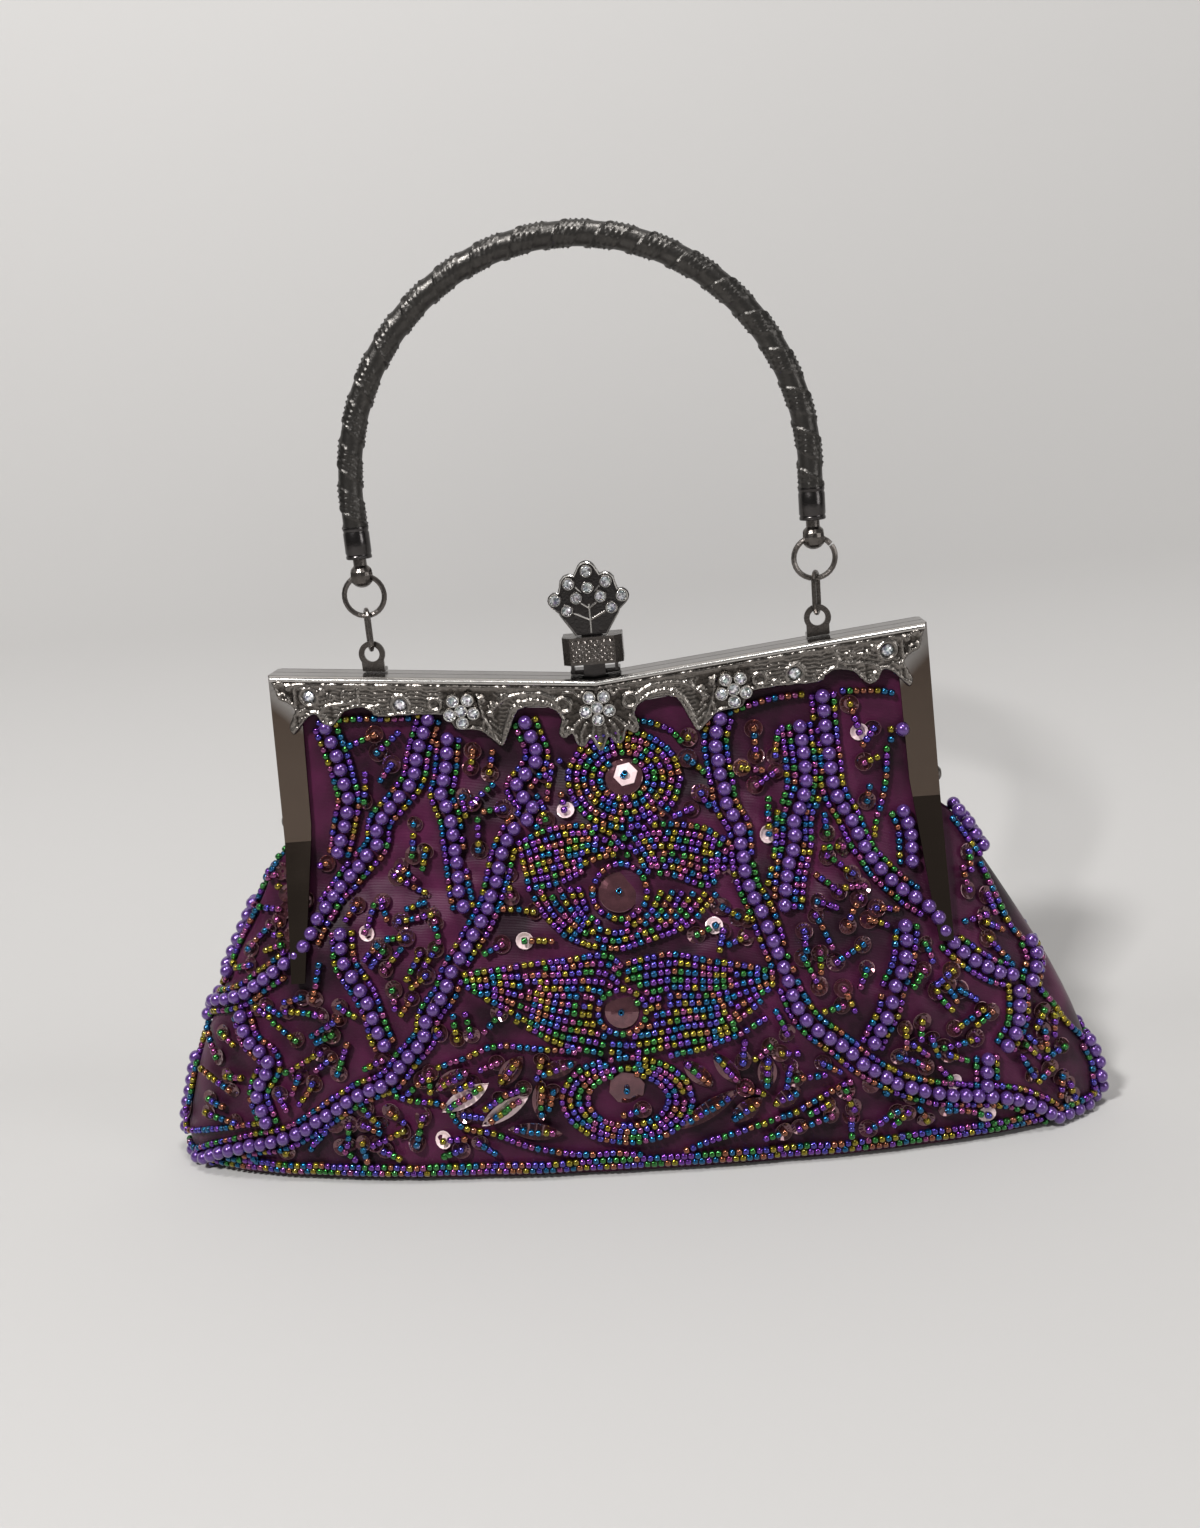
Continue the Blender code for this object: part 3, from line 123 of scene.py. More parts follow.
# Cast ornament, as packed, and its relief
ORNAMENT_HALF = FRAME_HALF_WIDTH - 0.0006
ORNAMENT_FACE = 0.0056
ORNAMENT_DROP = 0.0178
RIM_HEIGHT = 0.0017
RIM_DEPTH = 0.0013
RIM_STEPS = 10
MILL_PITCH = 0.00042
MILL_DEPTH = 0.00007
RELIEF_PITCH = 0.00034
SEAM_REACH = RELIEF_PITCH / 100
MERGE_REACH = 1e-6           # in millimetres
EDGE_WIDTH = 0.00042
EDGE_RISE = 0.00055
OUTLINE_RISE = EDGE_RISE / 3
OUTLINE_STEPS = 8
CAST_GRAIN = 0.0009
CAST_ROUGHNESS = 0.00014
ORNAMENT_SHARES = (
    (0.000, 1.000), (0.012, 0.945), (0.028, 0.800), (0.045, 0.905), (0.060, 0.925),
    (0.075, 0.870), (0.084, 0.745), (0.100, 0.795), (0.115, 0.805), (0.125, 0.740),
    (0.119, 0.610), (0.114, 0.530), (0.132, 0.420), (0.165, 0.372), (0.215, 0.378),
    (0.245, 0.440), (0.262, 0.570), (0.280, 0.750), (0.303, 0.930), (0.330, 0.845),
    (0.365, 0.725), (0.400, 0.705), (0.440, 0.700), (0.470, 0.530), (0.510, 0.505),
    (0.600, 0.520), (0.680, 0.540), (0.700, 0.470), (0.730, 0.415), (0.780, 0.480),
    (0.805, 0.600), (0.830, 0.690), (0.856, 0.640), (0.870, 0.530), (0.895, 0.560),
    (0.925, 0.700), (0.948, 0.810), (0.960, 0.720), (0.945, 0.560), (0.935, 0.460),
    (0.955, 0.370), (0.980, 0.320), (0.988, 0.220))
# Wavy hatching: from and to across, pitch and depth
HATCHES = ((0.0365, 0.0640, 0.00095, 0.00046), (0.0640, 0.0720, 0.00105, 0.00036),
           (0.0090, 0.0240, 0.00100, 0.00026))
# How the hatching wavers: swing and reach
HATCH_WAVES = ((0.00022, 0.0011), (0.00012, 0.00041))
# Comb of upright teeth under the arch: middle across and its reach, drop and its reach
TEETH_PLACE = (0.0150, 0.0052, 0.0053, 0.0016)
TEETH_PITCH = 0.00095
TEETH_DEPTH = 0.00035
TEETH_LEAN = 3               # drop for each step across
# Raised bezels: across and drop in millimetres, radius in millimetres
BOSSES = ((38.9, 6.4, 1.5), (47.2, 6.6, 2.1), (69.0, 4.9, 2.1), (8.0, 6.2, 1.7), (66.3, 10.6, 0.8),
          (18.3, 6.2, 0.7))
# Painted shade: below this height over the plate, the ornament's hollows are painted darker
PAINTED_SHADE_FADE_HEIGHT = 0.00038        # height from which the relief is polished
BOSS_WIRE = 0.00048
BOSS_RISE = 0.00080
BOSS_FLOOR = 0.0001
BOSS_STONE_FROM = 2.0
BOSS_STONE_RADIUS = 0.00145
# Raised scrolls and veins: points across and below the rail in millimetres, half width, rise
RIDGES = (
    (((0.0, 2.1), (20.0, 2.1), (77.0, 2.1)), 0.30, 0.45),
    (((0.0, 2.9), (20.0, 2.8), (77.0, 2.8)), 0.14, 0.20),
    (((9.4, 5.2), (12.6, 3.7), (17.0, 3.5), (21.0, 4.4), (24.0, 6.4), (26.2, 9.0)), 0.42, 0.50),
    (((9.9, 6.9), (12.5, 5.6), (16.5, 5.3), (19.6, 6.6), (21.4, 9.2), (22.8, 12.8), (23.6, 16.0)),
     0.40, 0.55),
    (((28.5, 4.0), (28.0, 7.6), (26.4, 11.8), (24.6, 15.4)), 0.34, 0.42),
    (((26.6, 8.4), (24.4, 10.2)), 0.26, 0.34), (((26.0, 10.4), (23.8, 12.2)), 0.26, 0.34),
    (((25.4, 12.4), (23.9, 13.9)), 0.24, 0.32), (((27.4, 9.6), (27.9, 12.2)), 0.26, 0.34),
    (((26.5, 11.6), (26.9, 13.9)), 0.26, 0.34),
    (((29.6, 12.4), (27.6, 14.2), (25.6, 16.0)), 0.30, 0.38),
    (((0.0, 11.2), (0.0, 17.2)), 0.36, 0.50), (((1.2, 11.0), (1.9, 14.2), (2.2, 16.8)), 0.28, 0.42),
    (((2.7, 10.4), (4.2, 12.6), (4.6, 16.2)), 0.30, 0.42),
    (((3.9, 9.4), (6.0, 11.8), (6.2, 14.6)), 0.30, 0.40),
    (((4.4, 4.0), (5.6, 2.9), (8.0, 3.2)), 0.34, 0.42),
    (((10.2, 4.6), (10.6, 7.6), (9.6, 9.6), (7.6, 10.0), (8.6, 11.8), (8.2, 13.4)), 0.34, 0.46),
    (((12.8, 4.6), (13.2, 2.6)), 0.22, 0.28), (((15.2, 4.4), (15.8, 2.6)), 0.22, 0.28),
    (((17.8, 4.5), (18.8, 2.6)), 0.22, 0.28), (((20.4, 5.0), (21.6, 2.8)), 0.22, 0.28),
    (((22.6, 6.0), (24.4, 3.4)), 0.22, 0.28),
    (((57.0, 2.9), (57.4, 5.2), (56.2, 7.0), (54.0, 7.6)), 0.42, 0.55),
    (((57.4, 5.2), (60.0, 6.5), (63.0, 6.7), (65.6, 7.6), (66.9, 9.2)), 0.42, 0.55),
    (((51.6, 9.0), (52.2, 7.4), (54.2, 7.0), (56.2, 8.2)), 0.34, 0.48),
    (((72.4, 2.6), (72.6, 6.2), (73.2, 10.2), (73.8, 13.8)), 0.40, 0.52),
    (((75.6, 8.6), (74.8, 10.8), (74.4, 13.4)), 0.30, 0.42),
    (((70.2, 8.0), (71.6, 9.0), (72.2, 11.0)), 0.30, 0.40),
    (((76.9, 2.4), (77.0, 4.8)), 0.34, 0.45))
# Small scrolls: middle, radius, angle of the outer end and turns
COILS = ((75.5, 5.6, 1.9, 0.3, 1.4), (54.4, 9.0, 1.3, 3.6, 1.2), (66.4, 9.8, 1.2, 4.6, 1.1),
         (6.8, 12.6, 1.1, 5.2, 1.0), (3.2, 3.4, 1.0, 0.6, 1.1), (75.8, 1.6, 0.8, 2.0, 0.9),
         (13.2, 7.6, 0.9, 2.6, 1.1), (17.2, 7.4, 0.9, 1.0, 1.1), (22.2, 4.6, 0.9, 3.9, 1.1),
         (25.0, 6.4, 1.0, 0.4, 1.2), (25.9, 8.6, 0.8, 2.2, 1.0), (27.4, 5.2, 0.9, 4.4, 1.1),
         (60.4, 4.6, 1.2, 2.4, 1.3), (63.6, 4.9, 1.0, 5.6, 1.2), (72.9, 8.6, 1.0, 1.2, 1.1),
         (43.0, 8.0, 0.9, 3.4, 1.1), (73.6, 2.9, 0.8, 4.0, 1.1), (65.9, 3.6, 0.8, 0.8, 1.1))
SCROLL_SCALE = 1.35
SCROLL_STEPS = 24
RIDGE_STEPS = 6
SCROLL_WIND = 0.78
COIL_WIDTH = 0.30
COIL_RISE = 0.70

# Stone-set flowers, as packed: across and drop, and their small settings
FLOWERS = ((-0.0326, 0.0077), (0.0, 0.0064), (0.0326, 0.0077))
FLOWER_RADIUS = 0.0044
PETALS = 5
FLOWER_BED = 0.0002
FLOWER_SEAT = 0.0012
FLOWER_STONE_PLACE = 0.0030
FLOWER_CENTRE_LIFT = 0.0003
STONE_DEPTH = 0.00075
STONE_SEAT_SHARE = 0.5       # of the collar's height
# Settings: the stone's radius, wire and height of its collar, and claws
FLOWER_SETTING = (0.00125, 0.00042, 0.00062, 5)
CLASP_SETTING = (0.00118, 0.00034, 0.00055, 4)
FLOWER_SPIN = 0.70
CLASP_SPIN = 0.55
# Brilliant: share of its radius and depth, corners, and their turn in steps
STONE_LEVELS = ((0.50, 1.0, 8, 0.5), (0.80, 0.62, 8, 0), (1.0, 0.16, 16, 0), (0.97, 0.0, 16, 0))
# Collar: wires beyond the stone's radius, and share of its height
COLLAR_SECTION = ((0.6, 0.0), (1.0, 0.5), (0.6, 1.0), (0.1, 1.0), (-0.2, 0.6))
COLLAR_CORE_SHARE = 0.06
COLLAR_FLOOR_SHARE = 0.35
COLLAR_SIDES = 20
CLAW_SIDES = 7
CLAW_PROFILE = ((0.00003, -0.0002), (0.00016, -0.00012), (0.00020, 0.00002), (0.00012, 0.00014),
                (0.00003, 0.00018))

# Fan and block of the clasp, as packed
FAN_HEIGHT = 0.0175
FAN_HALF_WIDTH = 0.0097
FAN_FRONT = 0.0019
FAN_NECK = 0.0037
FAN_INSET = 0.975
LOBE_SHARE = 0.97
LOBE_STEPS = 6
FAN_LOBES = (
    (0.545, 0.350, 0.125, -40, -10), (0.830, 0.500, 0.105, -40, 110),
    (0.455, 0.705, 0.135, -5, 120), (0.0, 0.865, 0.135, 20, 90))
# Veins on the fan: two ends, as shares of its half width and height
FAN_VEINS = (
    ((0.0, 0.02), (0.0, 0.42)), ((0.0, 0.20), (-0.40, 0.31)), ((0.0, 0.20), (0.42, 0.31)),
    ((0.0, 0.36), (0.20, 0.44)), ((0.0, 0.36), (-0.20, 0.44)), ((0.16, 0.58), (0.30, 0.66)),
    ((-0.16, 0.58), (-0.30, 0.66)))
CLASP_GAP = 0.0003
CLASP_STONES = 10
CLASP_LINE_RADIUS = 0.00024
CLASP_LINE_OUT = CLASP_LINE_RADIUS / 3
CLASP_LINE_SIDES = 7
VEIN_STEPS = 12
CLASP_COLLAR_SEAT = 0.00028
KNURL_HALF_WIDTH = 0.0052
KNURL_MARGIN = 0.0007
KNURL_COLUMNS = 64
KNURL_ROWS = 32
KNURL_PITCH = 0.00150
KNURL_RISE = 0.00032
KNURL_SINK = 0.0001

# Rope handle and ferrules
ROPE_RADIUS = 0.0029
HANDLE_LEG = 0.0129
GRIP_SINK = 0.0006
GRIP_TAPER = 0.8
GRIP_STEP = 0.00030
GRIP_SIDES = 44
ARCH_STEPS = 180
WRAP_PITCH = 0.0098
WRAP_DOTS = 0.56
WRAP_LINE = 0.06
DOT_ROWS = 4
DOTS_AROUND = 11
DOT_RISE = 0.13
LINE_RISE = 0.08
GROOVE_SHARE = 0.05
# Ferrule's section: shares of its radius and height, with two grooves
FERRULE_PROFILE = (
    (0.55, 0.00), (0.90, 0.00), (0.985, 0.02), (1, 0.09), (0.955, 0.12), (0.955, 0.16), (1, 0.19),
    (1, 0.81), (0.955, 0.84), (0.955, 0.88), (1, 0.91), (1, 0.96), (0.985, 0.99), (0.94, 1.00),
    (0.90, 0.97), (0.90, 0.30), (0.55, 0.30), (0.55, 0.00))
FERRULE_SIDES = 40

# CAD pieces that stay: finish, nodes and the width of their softened edges
CAD_FINISHES = (
    ("gunmetal", ("front_jaw", "back_jaw"), 0.00022),
    ("gunmetal", ("clasp_spring",), 0),
    ("worn", ("hinge_rivet_left", "hinge_rivet_right", "handle_tab_left", "handle_tab_right",
              "clasp_block"), 0.00012),
    ("worn", ("link_left", "link_right", "ring_left", "ring_right", "ball_tip_left",
              "ball_tip_right"), 0),
    ("dark", ("clasp_ornament", "clasp_bracket", "clasp_tongue"), 0.00010),
    ("dark", ("clasp_pin",), 0),
    ("card", ("base_board",), 0))

# Satin body: level sections given by height, half width, half depth and how oval they are
SLIT_HEIGHT = 0.0846
FLAP_TOP = 0.1166
PANEL_LINE = 0.0728
CHANNEL_DEPTH = 0.0035
BODY_SECTIONS = (
    (0.1166, 0.0764, 0.0035, 0.00), (0.1123, 0.0766, 0.0035, 0.00),
    (0.1045, 0.0770, 0.0041, 0.00), (0.0998, 0.0772, 0.0048, 0.00),
    (0.0940, 0.0775, 0.0070, 0.00), (0.0890, 0.0778, 0.0094, 0.00),
    (0.0846, 0.0780, 0.0112, 0.00), (0.0787, 0.0843, 0.0124, 0.25),
    (0.0719, 0.0883, 0.0144, 0.54), (0.0635, 0.0934, 0.0169, 0.90),
    (0.0530, 0.0995, 0.0202, 1.00), (0.0381, 0.1076, 0.0231, 1.00),
    (0.0186, 0.1155, 0.0248, 1.00), (0.0038, 0.1185, 0.0247, 1.00),
    (0.0000, 0.1171, 0.0236, 1.00))
SECTION_POWER = 2.2
BULGE_POWER = 1.3
EDGE_POWER = 4
INSET_POWER = 8
BODY_COLUMNS = 132
BODY_ROWS = 104
SATIN_THICKNESS = 0.0006
LINING_INSET = 0.0011
LINING_THICKNESS = 0.0003
LINING_LIFT = 0.0026
PUCKER_DEPTH = 0.00105
PUCKER_LENGTH = 0.0085
PUCKER_SEED = 7.0
FINE_PUCKERS = 2.3
FOLD_DEPTH = 0.0009
FOLD_STRETCH = 5
FOLD_SEED = 3.0

# Beads
PEARL_RADIUS = 0.00175
PEARL_PITCH = 0.0035
PEARL_SIZES = (0.97, 1.03)
PEARL_STEPS = 9
PEARL_SIDES = 14
PEARL_POLE = PEARL_RADIUS / 9
PEARL_SPIN = 3
PEARL_SEAT_SHARE = 0.96      # of its radius, from the satin to its middle
PEARL_ROOM_SHARE = 0.72
TAKEN_SHARE = 0.86           # of a pearl's or a disc's radius that nothing else may enter
SEED_RADIUS = 0.00090
SEED_LENGTH = 0.00142
SEED_SIZES = (0.93, 1.06)
SEED_TILT = 0.12
SEED_ROOM_SHARE = 0.92
SEED_SIDES = 9
# Half of a seed's section, as shares of its radius and half length
SEED_SECTION = ((0.42, 0.70), (0.55, 1.00), (0.84, 0.94), (1.00, 0.40))
SEED_SLACK = 1.04            # room for the largest beads
SEED_PITCH = 0.00166
BASE_ROWS = (0.0042, 0.0025)
BASE_ROW_SHARE = 0.998
BASE_STEPS = 60              # from the middle to one side
BEAD_CELL = 0.002
# How much of a seed's radius it keeps clear of other beads
LINE_SLACK = 0.80
MOTIF_SLACK = 0.78
BAR_SLACK = 0.70
LEAF_SLACK = 0.60
PATCH_STEPS = 24
RING_POINTS = 16
RING_PIXELS = 8.2            # from one ring of a motif to the next
LEAST_RING_SHARE = 0.3
FLANK_GAP = 0.00255          # seed line beside a string of pearls
FLANK_STEP = SEED_PITCH / 5  # the shortest one along it
TWICE_FLANKED = (9,)
SCATTER_TRIES = 2600
SCATTER_HALF_WIDTH = 0.112
SCATTER_HEIGHTS = (0.008, 0.104)
SCATTER_LENGTH = 0.0045
SCATTER_ROOM = 0.0013
SCATTER_STEPS = 3            # between the seeds of one bar
CUP_RADIUS = 0.00220
CUP_SIZES = (0.92, 1.08)
CUP_LEAN = 0.30
CUP_SWAY = 0.25
CUP_SIDES = 14
# Sections of the sequins: share of the radius, and height
CUP_SECTION = ((0.18, 0.00004), (0.55, 0.00009), (0.96, 0.00062), (1, 0.00060), (0.60, 0.0),
               (0.18, -0.00004), (0.18, 0.00004))
DISC_SECTION = ((0.12, 0.00045), (0.62, 0.00035), (0.97, 0.0), (1, -0.00010), (0.60, 0.00020),
                (0.12, 0.00030), (0.12, 0.00045))
DISC_ALONG = Vector((1, 0, 0.2))
DISC_SEED_SIZE = 0.9
# Lifts over the satin
CUP_LIFT = 0.0002
BAR_LIFT = 0.0005
END_LIFT = 0.0007
LEAF_LIFT = 0.0007
LEAF_SEED_LIFT = 0.0008
DISC_LIFT = 0.0005
BRIGHT_DISC_LIFT = 0.0011
DISC_SEED_LIFT = 0.0012
ARM_INSIDE = 0.0700          # beads further in than this never reach an arm
ARM_ROOM = 0.0024
LEAF_HALF_WIDTH = 0.0023
LEAF_TIP = 0.00002
LEAF_POWER = 0.75
LEAF_ROWS = 15
LEAF_BOW = ((-1, 0.00045), (-0.5, 0.0001), (0, 0), (0.5, 0.0001), (1, 0.00045))
SEQUIN_THICKNESS = 0.00008
LEAF_ROW_SHARE = 0.62        # of the leaf's length that its seeds cover
LEAF_SEEDS_SHARE = 1.3

# Pearl strings, each through pixels of the photograph
PEARL_LINES = (
    ((327, 727), (339, 758), (347, 785), (350, 800), (345, 828), (341, 852)),
    ((429, 718), (419, 751), (414, 779), (399, 800), (381, 821), (377, 846), (358, 869),
     (340, 892), (322, 918), (309, 944), (287, 964), (265, 980), (244, 995), (214, 1004),
     (190, 1007)),
    ((449, 738), (445, 782), (442, 794), (452, 821), (455, 848), (459, 876), (464, 906)),
    ((526, 722), (537, 755), (526, 777), (518, 788), (534, 813), (512, 833), (502, 859),
     (496, 886), (486, 915), (471, 942), (455, 968), (446, 992), (430, 1015), (426, 1036),
     (409, 1056), (390, 1080), (363, 1091), (337, 1107), (311, 1125), (283, 1138),
     (253, 1143), (221, 1150), (190, 1156)),
    ((343, 934), (346, 963), (360, 985), (372, 1006), (380, 1032), (386, 1044)),
    ((245, 1016), (252, 1039), (272, 1061), (261, 1091), (270, 1120)),
    ((240, 895), (227, 929), (224, 960), (233, 972)),
    ((178, 1052), (170, 1083), (170, 1113), (175, 1142)),
    ((720, 718), (715, 740), (720, 775), (725, 804), (739, 829), (742, 860), (750, 889),
     (762, 913), (773, 944), (784, 972), (795, 1000), (812, 1024), (841, 1045), (860, 1061),
     (885, 1075), (912, 1086), (939, 1092), (971, 1093), (1006, 1095), (1037, 1104),
     (1062, 1115), (1082, 1118)),
    ((799, 725), (803, 758), (803, 787), (794, 816), (793, 845), (786, 875), (783, 905)),
    ((822, 695), (825, 730), (829, 761), (833, 790), (847, 816), (860, 844), (879, 870),
     (905, 893), (932, 912), (946, 937), (967, 956), (991, 970), (1008, 974)),
    ((905, 925), (902, 961), (893, 986), (887, 1011), (872, 1042)),
    ((901, 810), (908, 830), (910, 862)),
    ((901, 728), (901, 738)),
    ((1016, 990), (1015, 1020), (1004, 1044)),
    ((985, 1057), (985, 1083)),
    ((950, 811), (960, 822), (971, 835), (976, 846)),
    ((1026, 941), (1032, 957), (1028, 980)),
    ((1083, 1040), (1092, 1060), (1094, 1075), (1090, 1098), (1086, 1112)))

# Single lines of seed beads
SEED_LINES = (
    ((296, 728), (291, 745), (289, 765), (292, 788), (285, 812), (266, 838), (251, 866)),
    ((320, 722), (340, 719), (372, 718), (400, 718), (416, 717)),
    ((730, 712), (745, 706), (771, 698), (801, 694)),
    ((835, 690), (858, 690), (880, 690), (896, 694), (904, 703), (907, 723), (910, 756),
     (907, 781), (910, 808), (913, 836), (921, 853), (941, 878), (948, 896)),
    ((886, 748), (885, 778), (880, 803), (874, 826), (876, 846), (884, 860)),
    ((440, 1066), (468, 1056), (497, 1045), (541, 1048), (582, 1052)),
    ((670, 1054), (699, 1048), (738, 1033), (764, 1018)),
    ((392, 1094), (420, 1100), (445, 1105), (463, 1125), (495, 1132), (525, 1143), (578, 1152),
     (619, 1151), (670, 1152), (697, 1144), (734, 1132), (771, 1119), (800, 1108), (850, 1080)),
    ((970, 846), (982, 872), (996, 902), (1008, 926), (1024, 942)),
    ((1034, 985), (1050, 1003), (1062, 1020), (1078, 1036)),
    ((262, 838), (248, 866), (238, 890)),
    ((222, 968), (206, 990), (196, 1002)),
    ((196, 1018), (184, 1036), (178, 1050)),
    ((205, 1157), (236, 1156), (262, 1152)),
    ((190, 1126), (212, 1128), (246, 1124), (262, 1122)),
    ((590, 735), (615, 724), (640, 720), (668, 728), (680, 740)),
    ((545, 742), (552, 760), (548, 790), (546, 812)))

# Short bars of seed beads with cup sequins: two ends, then cups at 1 start, 2 end, 3 both, with 4 added
# where a cup is painted pale as catching the light
BARS = (
    (297, 767, 309, 760, 2), (288, 804, 317, 816, 3), (300, 839, 308, 869, 3),
    (262, 872, 283, 871, 2), (352, 744, 375, 734, 2), (378, 752, 399, 732, 1),
    (367, 773, 367, 800, 2), (416, 823, 415, 855, 3), (398, 876, 427, 893, 1),
    (473, 750, 471, 768, 3), (473, 804, 493, 785, 1), (479, 819, 480, 849, 2),
    (493, 751, 490, 773, 2), (255, 902, 288, 910, 3), (253, 949, 273, 926, 3),
    (378, 906, 368, 933, 6), (401, 922, 433, 916, 3), (387, 969, 403, 949, 1),
    (409, 977, 423, 953, 2), (395, 989, 397, 1007, 1), (322, 965, 316, 998, 2),
    (289, 1010, 324, 1014, 3), (277, 1022, 298, 1040, 2), (316, 1034, 340, 1018, 2),
    (350, 1044, 340, 1072, 2), (289, 1070, 322, 1052, 2), (316, 1082, 302, 1101, 1),
    (213, 1028, 221, 1056, 2), (207, 1068, 233, 1088, 2), (190, 1080, 192, 1109, 3),
    (211, 1111, 237, 1121, 3), (252, 1156, 288, 1150, 2), (314, 1145, 336, 1123, 2),
    (352, 1123, 350, 1143, 3), (366, 1107, 380, 1121, 3), (376, 1143, 405, 1129, 3),
    (418, 1143, 425, 1116, 3), (445, 1139, 466, 1136, 5), (427, 1056, 441, 1032, 2),
    (455, 1016, 458, 1038, 2), (467, 1014, 472, 1034, 2),
    (753, 728, 755, 756, 3), (778, 725, 775, 756, 2), (755, 785, 776, 771, 3),
    (766, 799, 766, 834, 6), (700, 793, 717, 818, 1), (823, 814, 826, 833, 2),
    (826, 856, 851, 874, 3), (816, 876, 838, 892, 2), (858, 899, 849, 917, 1),
    (849, 703, 859, 731, 7), (863, 761, 882, 753, 1), (868, 785, 866, 800, 2),
    (722, 907, 738, 917, 3), (732, 873, 739, 897, 1),
    (546, 796, 546, 820, 2), (545, 776, 561, 760, 1), (563, 795, 566, 811, 6),
    (510, 874, 512, 896, 3), (505, 909, 535, 911, 2), (525, 940, 553, 940, 5),
    (696, 934, 714, 926, 7), (719, 907, 747, 919, 3), (687, 758, 709, 776, 1),
    (674, 738, 688, 737, 2), (815, 915, 830, 946, 1), (835, 961, 862, 944, 3),
    (803, 957, 818, 986, 3), (843, 988, 853, 1009, 1), (854, 904, 847, 925, 2),
    (934, 990, 950, 1009, 1), (953, 1028, 980, 1009, 3), (921, 1020, 919, 1037, 1),
    (942, 1045, 974, 1037, 3), (898, 1055, 925, 1066, 3), (938, 1066, 953, 1081, 6),
    (986, 938, 1003, 957, 1), (963, 921, 982, 915, 2), (1026, 1035, 1037, 1045, 2),
    (1043, 1056, 1060, 1045, 2), (1020, 1056, 1030, 1073, 2), (1066, 1083, 1070, 1094, 3),
    (845, 1089, 852, 1106, 3), (799, 1125, 830, 1113, 3), (868, 1127, 896, 1110, 3),
    (911, 1096, 925, 1117, 3), (946, 1107, 986, 1112, 7), (795, 1077, 822, 1072, 1),
    (870, 1083, 889, 1093, 1), (436, 1000, 441, 1010, 1), (960, 868, 966, 890, 2),
    (745, 1040, 742, 1060, 2), (500, 1012, 486, 1030, 1), (775, 1010, 786, 1032, 2))

# Leaf sequins under a bar of seeds: two tips, and 1 where it catches the light
LEAVES = (
    (436, 1089, 474, 1065, 0), (443, 1111, 491, 1079, 1), (482, 1125, 529, 1093, 1),
    (542, 1078, 542, 1120, 0), (536, 1075, 578, 1059, 0), (499, 1085, 523, 1055, 0),
    (509, 1126, 564, 1130, 0), (683, 1057, 713, 1085, 0), (714, 1050, 741, 1082, 0),
    (767, 1052, 767, 1088, 0), (679, 1126, 739, 1089, 0), (730, 1119, 762, 1096, 0),
    (771, 1103, 800, 1087, 0))

# Beaded motifs: rows run between the two curves of each patch
MOTIF_PATCHES = (
    (((520, 842), (541, 832), (572, 826), (603, 830), (618, 842)),
     ((530, 888), (556, 884), (578, 874), (596, 862), (612, 856)), 8),
    (((620, 842), (636, 830), (662, 824), (702, 827), (727, 842)),
     ((640, 870), (660, 872), (684, 878), (706, 886), (722, 872)), 8),
    (((532, 892), (548, 917), (573, 940), (616, 948), (657, 936), (688, 924), (714, 894)),
     ((588, 888), (594, 908), (606, 921), (619, 924), (633, 920), (645, 906), (650, 892)), 7),
    (((466, 974), (506, 968), (555, 961), (603, 955), (620, 966)),
     ((470, 992), (500, 1008), (528, 1026), (560, 1042), (601, 1051)), 12),
    (((622, 966), (640, 960), (670, 954), (704, 959), (743, 964), (771, 971)),
     ((612, 1050), (640, 1051), (683, 1042), (727, 1031), (758, 1006), (772, 986)), 12))
# Rings of seeds: centre, outer half width and half height, rings
MOTIF_RINGS = (
    ((624, 779), (56, 48), 5), ((628, 1098), (65, 42), 4), ((620, 891), (27, 28), 1),
    ((622, 1011), (24, 22), 1))
# Disc sequins in the motifs: centre, radius, facets, and 1 where it catches the light
DISCS = (
    ((624, 777), 0.0046, 24, 0), ((626, 775), 0.0030, 6, 1), ((619, 892), 0.0050, 28, 0),
    ((622, 1011), 0.0042, 24, 0), ((627, 1087), 0.0046, 8, 0))

# Iris finishes of the seed beads: two hues each, and how often it comes up
SEED_FINISHES = (
    ("teal", (0.004, 0.125, 0.165), (0.006, 0.055, 0.240), 16),
    ("blue", (0.024, 0.055, 0.320), (0.100, 0.030, 0.280), 14),
    ("violet", (0.190, 0.036, 0.280), (0.080, 0.026, 0.260), 20),
    ("rose", (0.240, 0.042, 0.200), (0.230, 0.055, 0.120), 12),
    ("copper", (0.260, 0.105, 0.028), (0.230, 0.060, 0.055), 11),
    ("gold", (0.300, 0.175, 0.014), (0.170, 0.190, 0.012), 15),
    ("green", (0.006, 0.165, 0.045), (0.045, 0.160, 0.016), 12))
SEED_GLOSS = (0.15, 0.07, 420, 0.92, 0.5)
# Pearls and sequins: batch, name, two colours, roughness and its spread, grain, metallic, coat
TRIM_FINISHES = (
    ("pearls", "pearl_violet", (0.080, 0.030, 0.185), (0.130, 0.052, 0.265), 0.24, 0.06, 300, 0.60, 1.0),
    ("cups", "sequin_plum", (0.045, 0.012, 0.020), (0.200, 0.075, 0.090), 0.08, 0.04, 420, 0.70, 1.0),
    # Bright sequins: the plum sequins that catch the light, painted pale pink as a painted highlight
    ("bright", "sequin_painted_glint", (0.90, 0.72, 0.72), (0.70, 0.50, 0.52), 0.18, 0.06, 250, 0.10, 0.0))
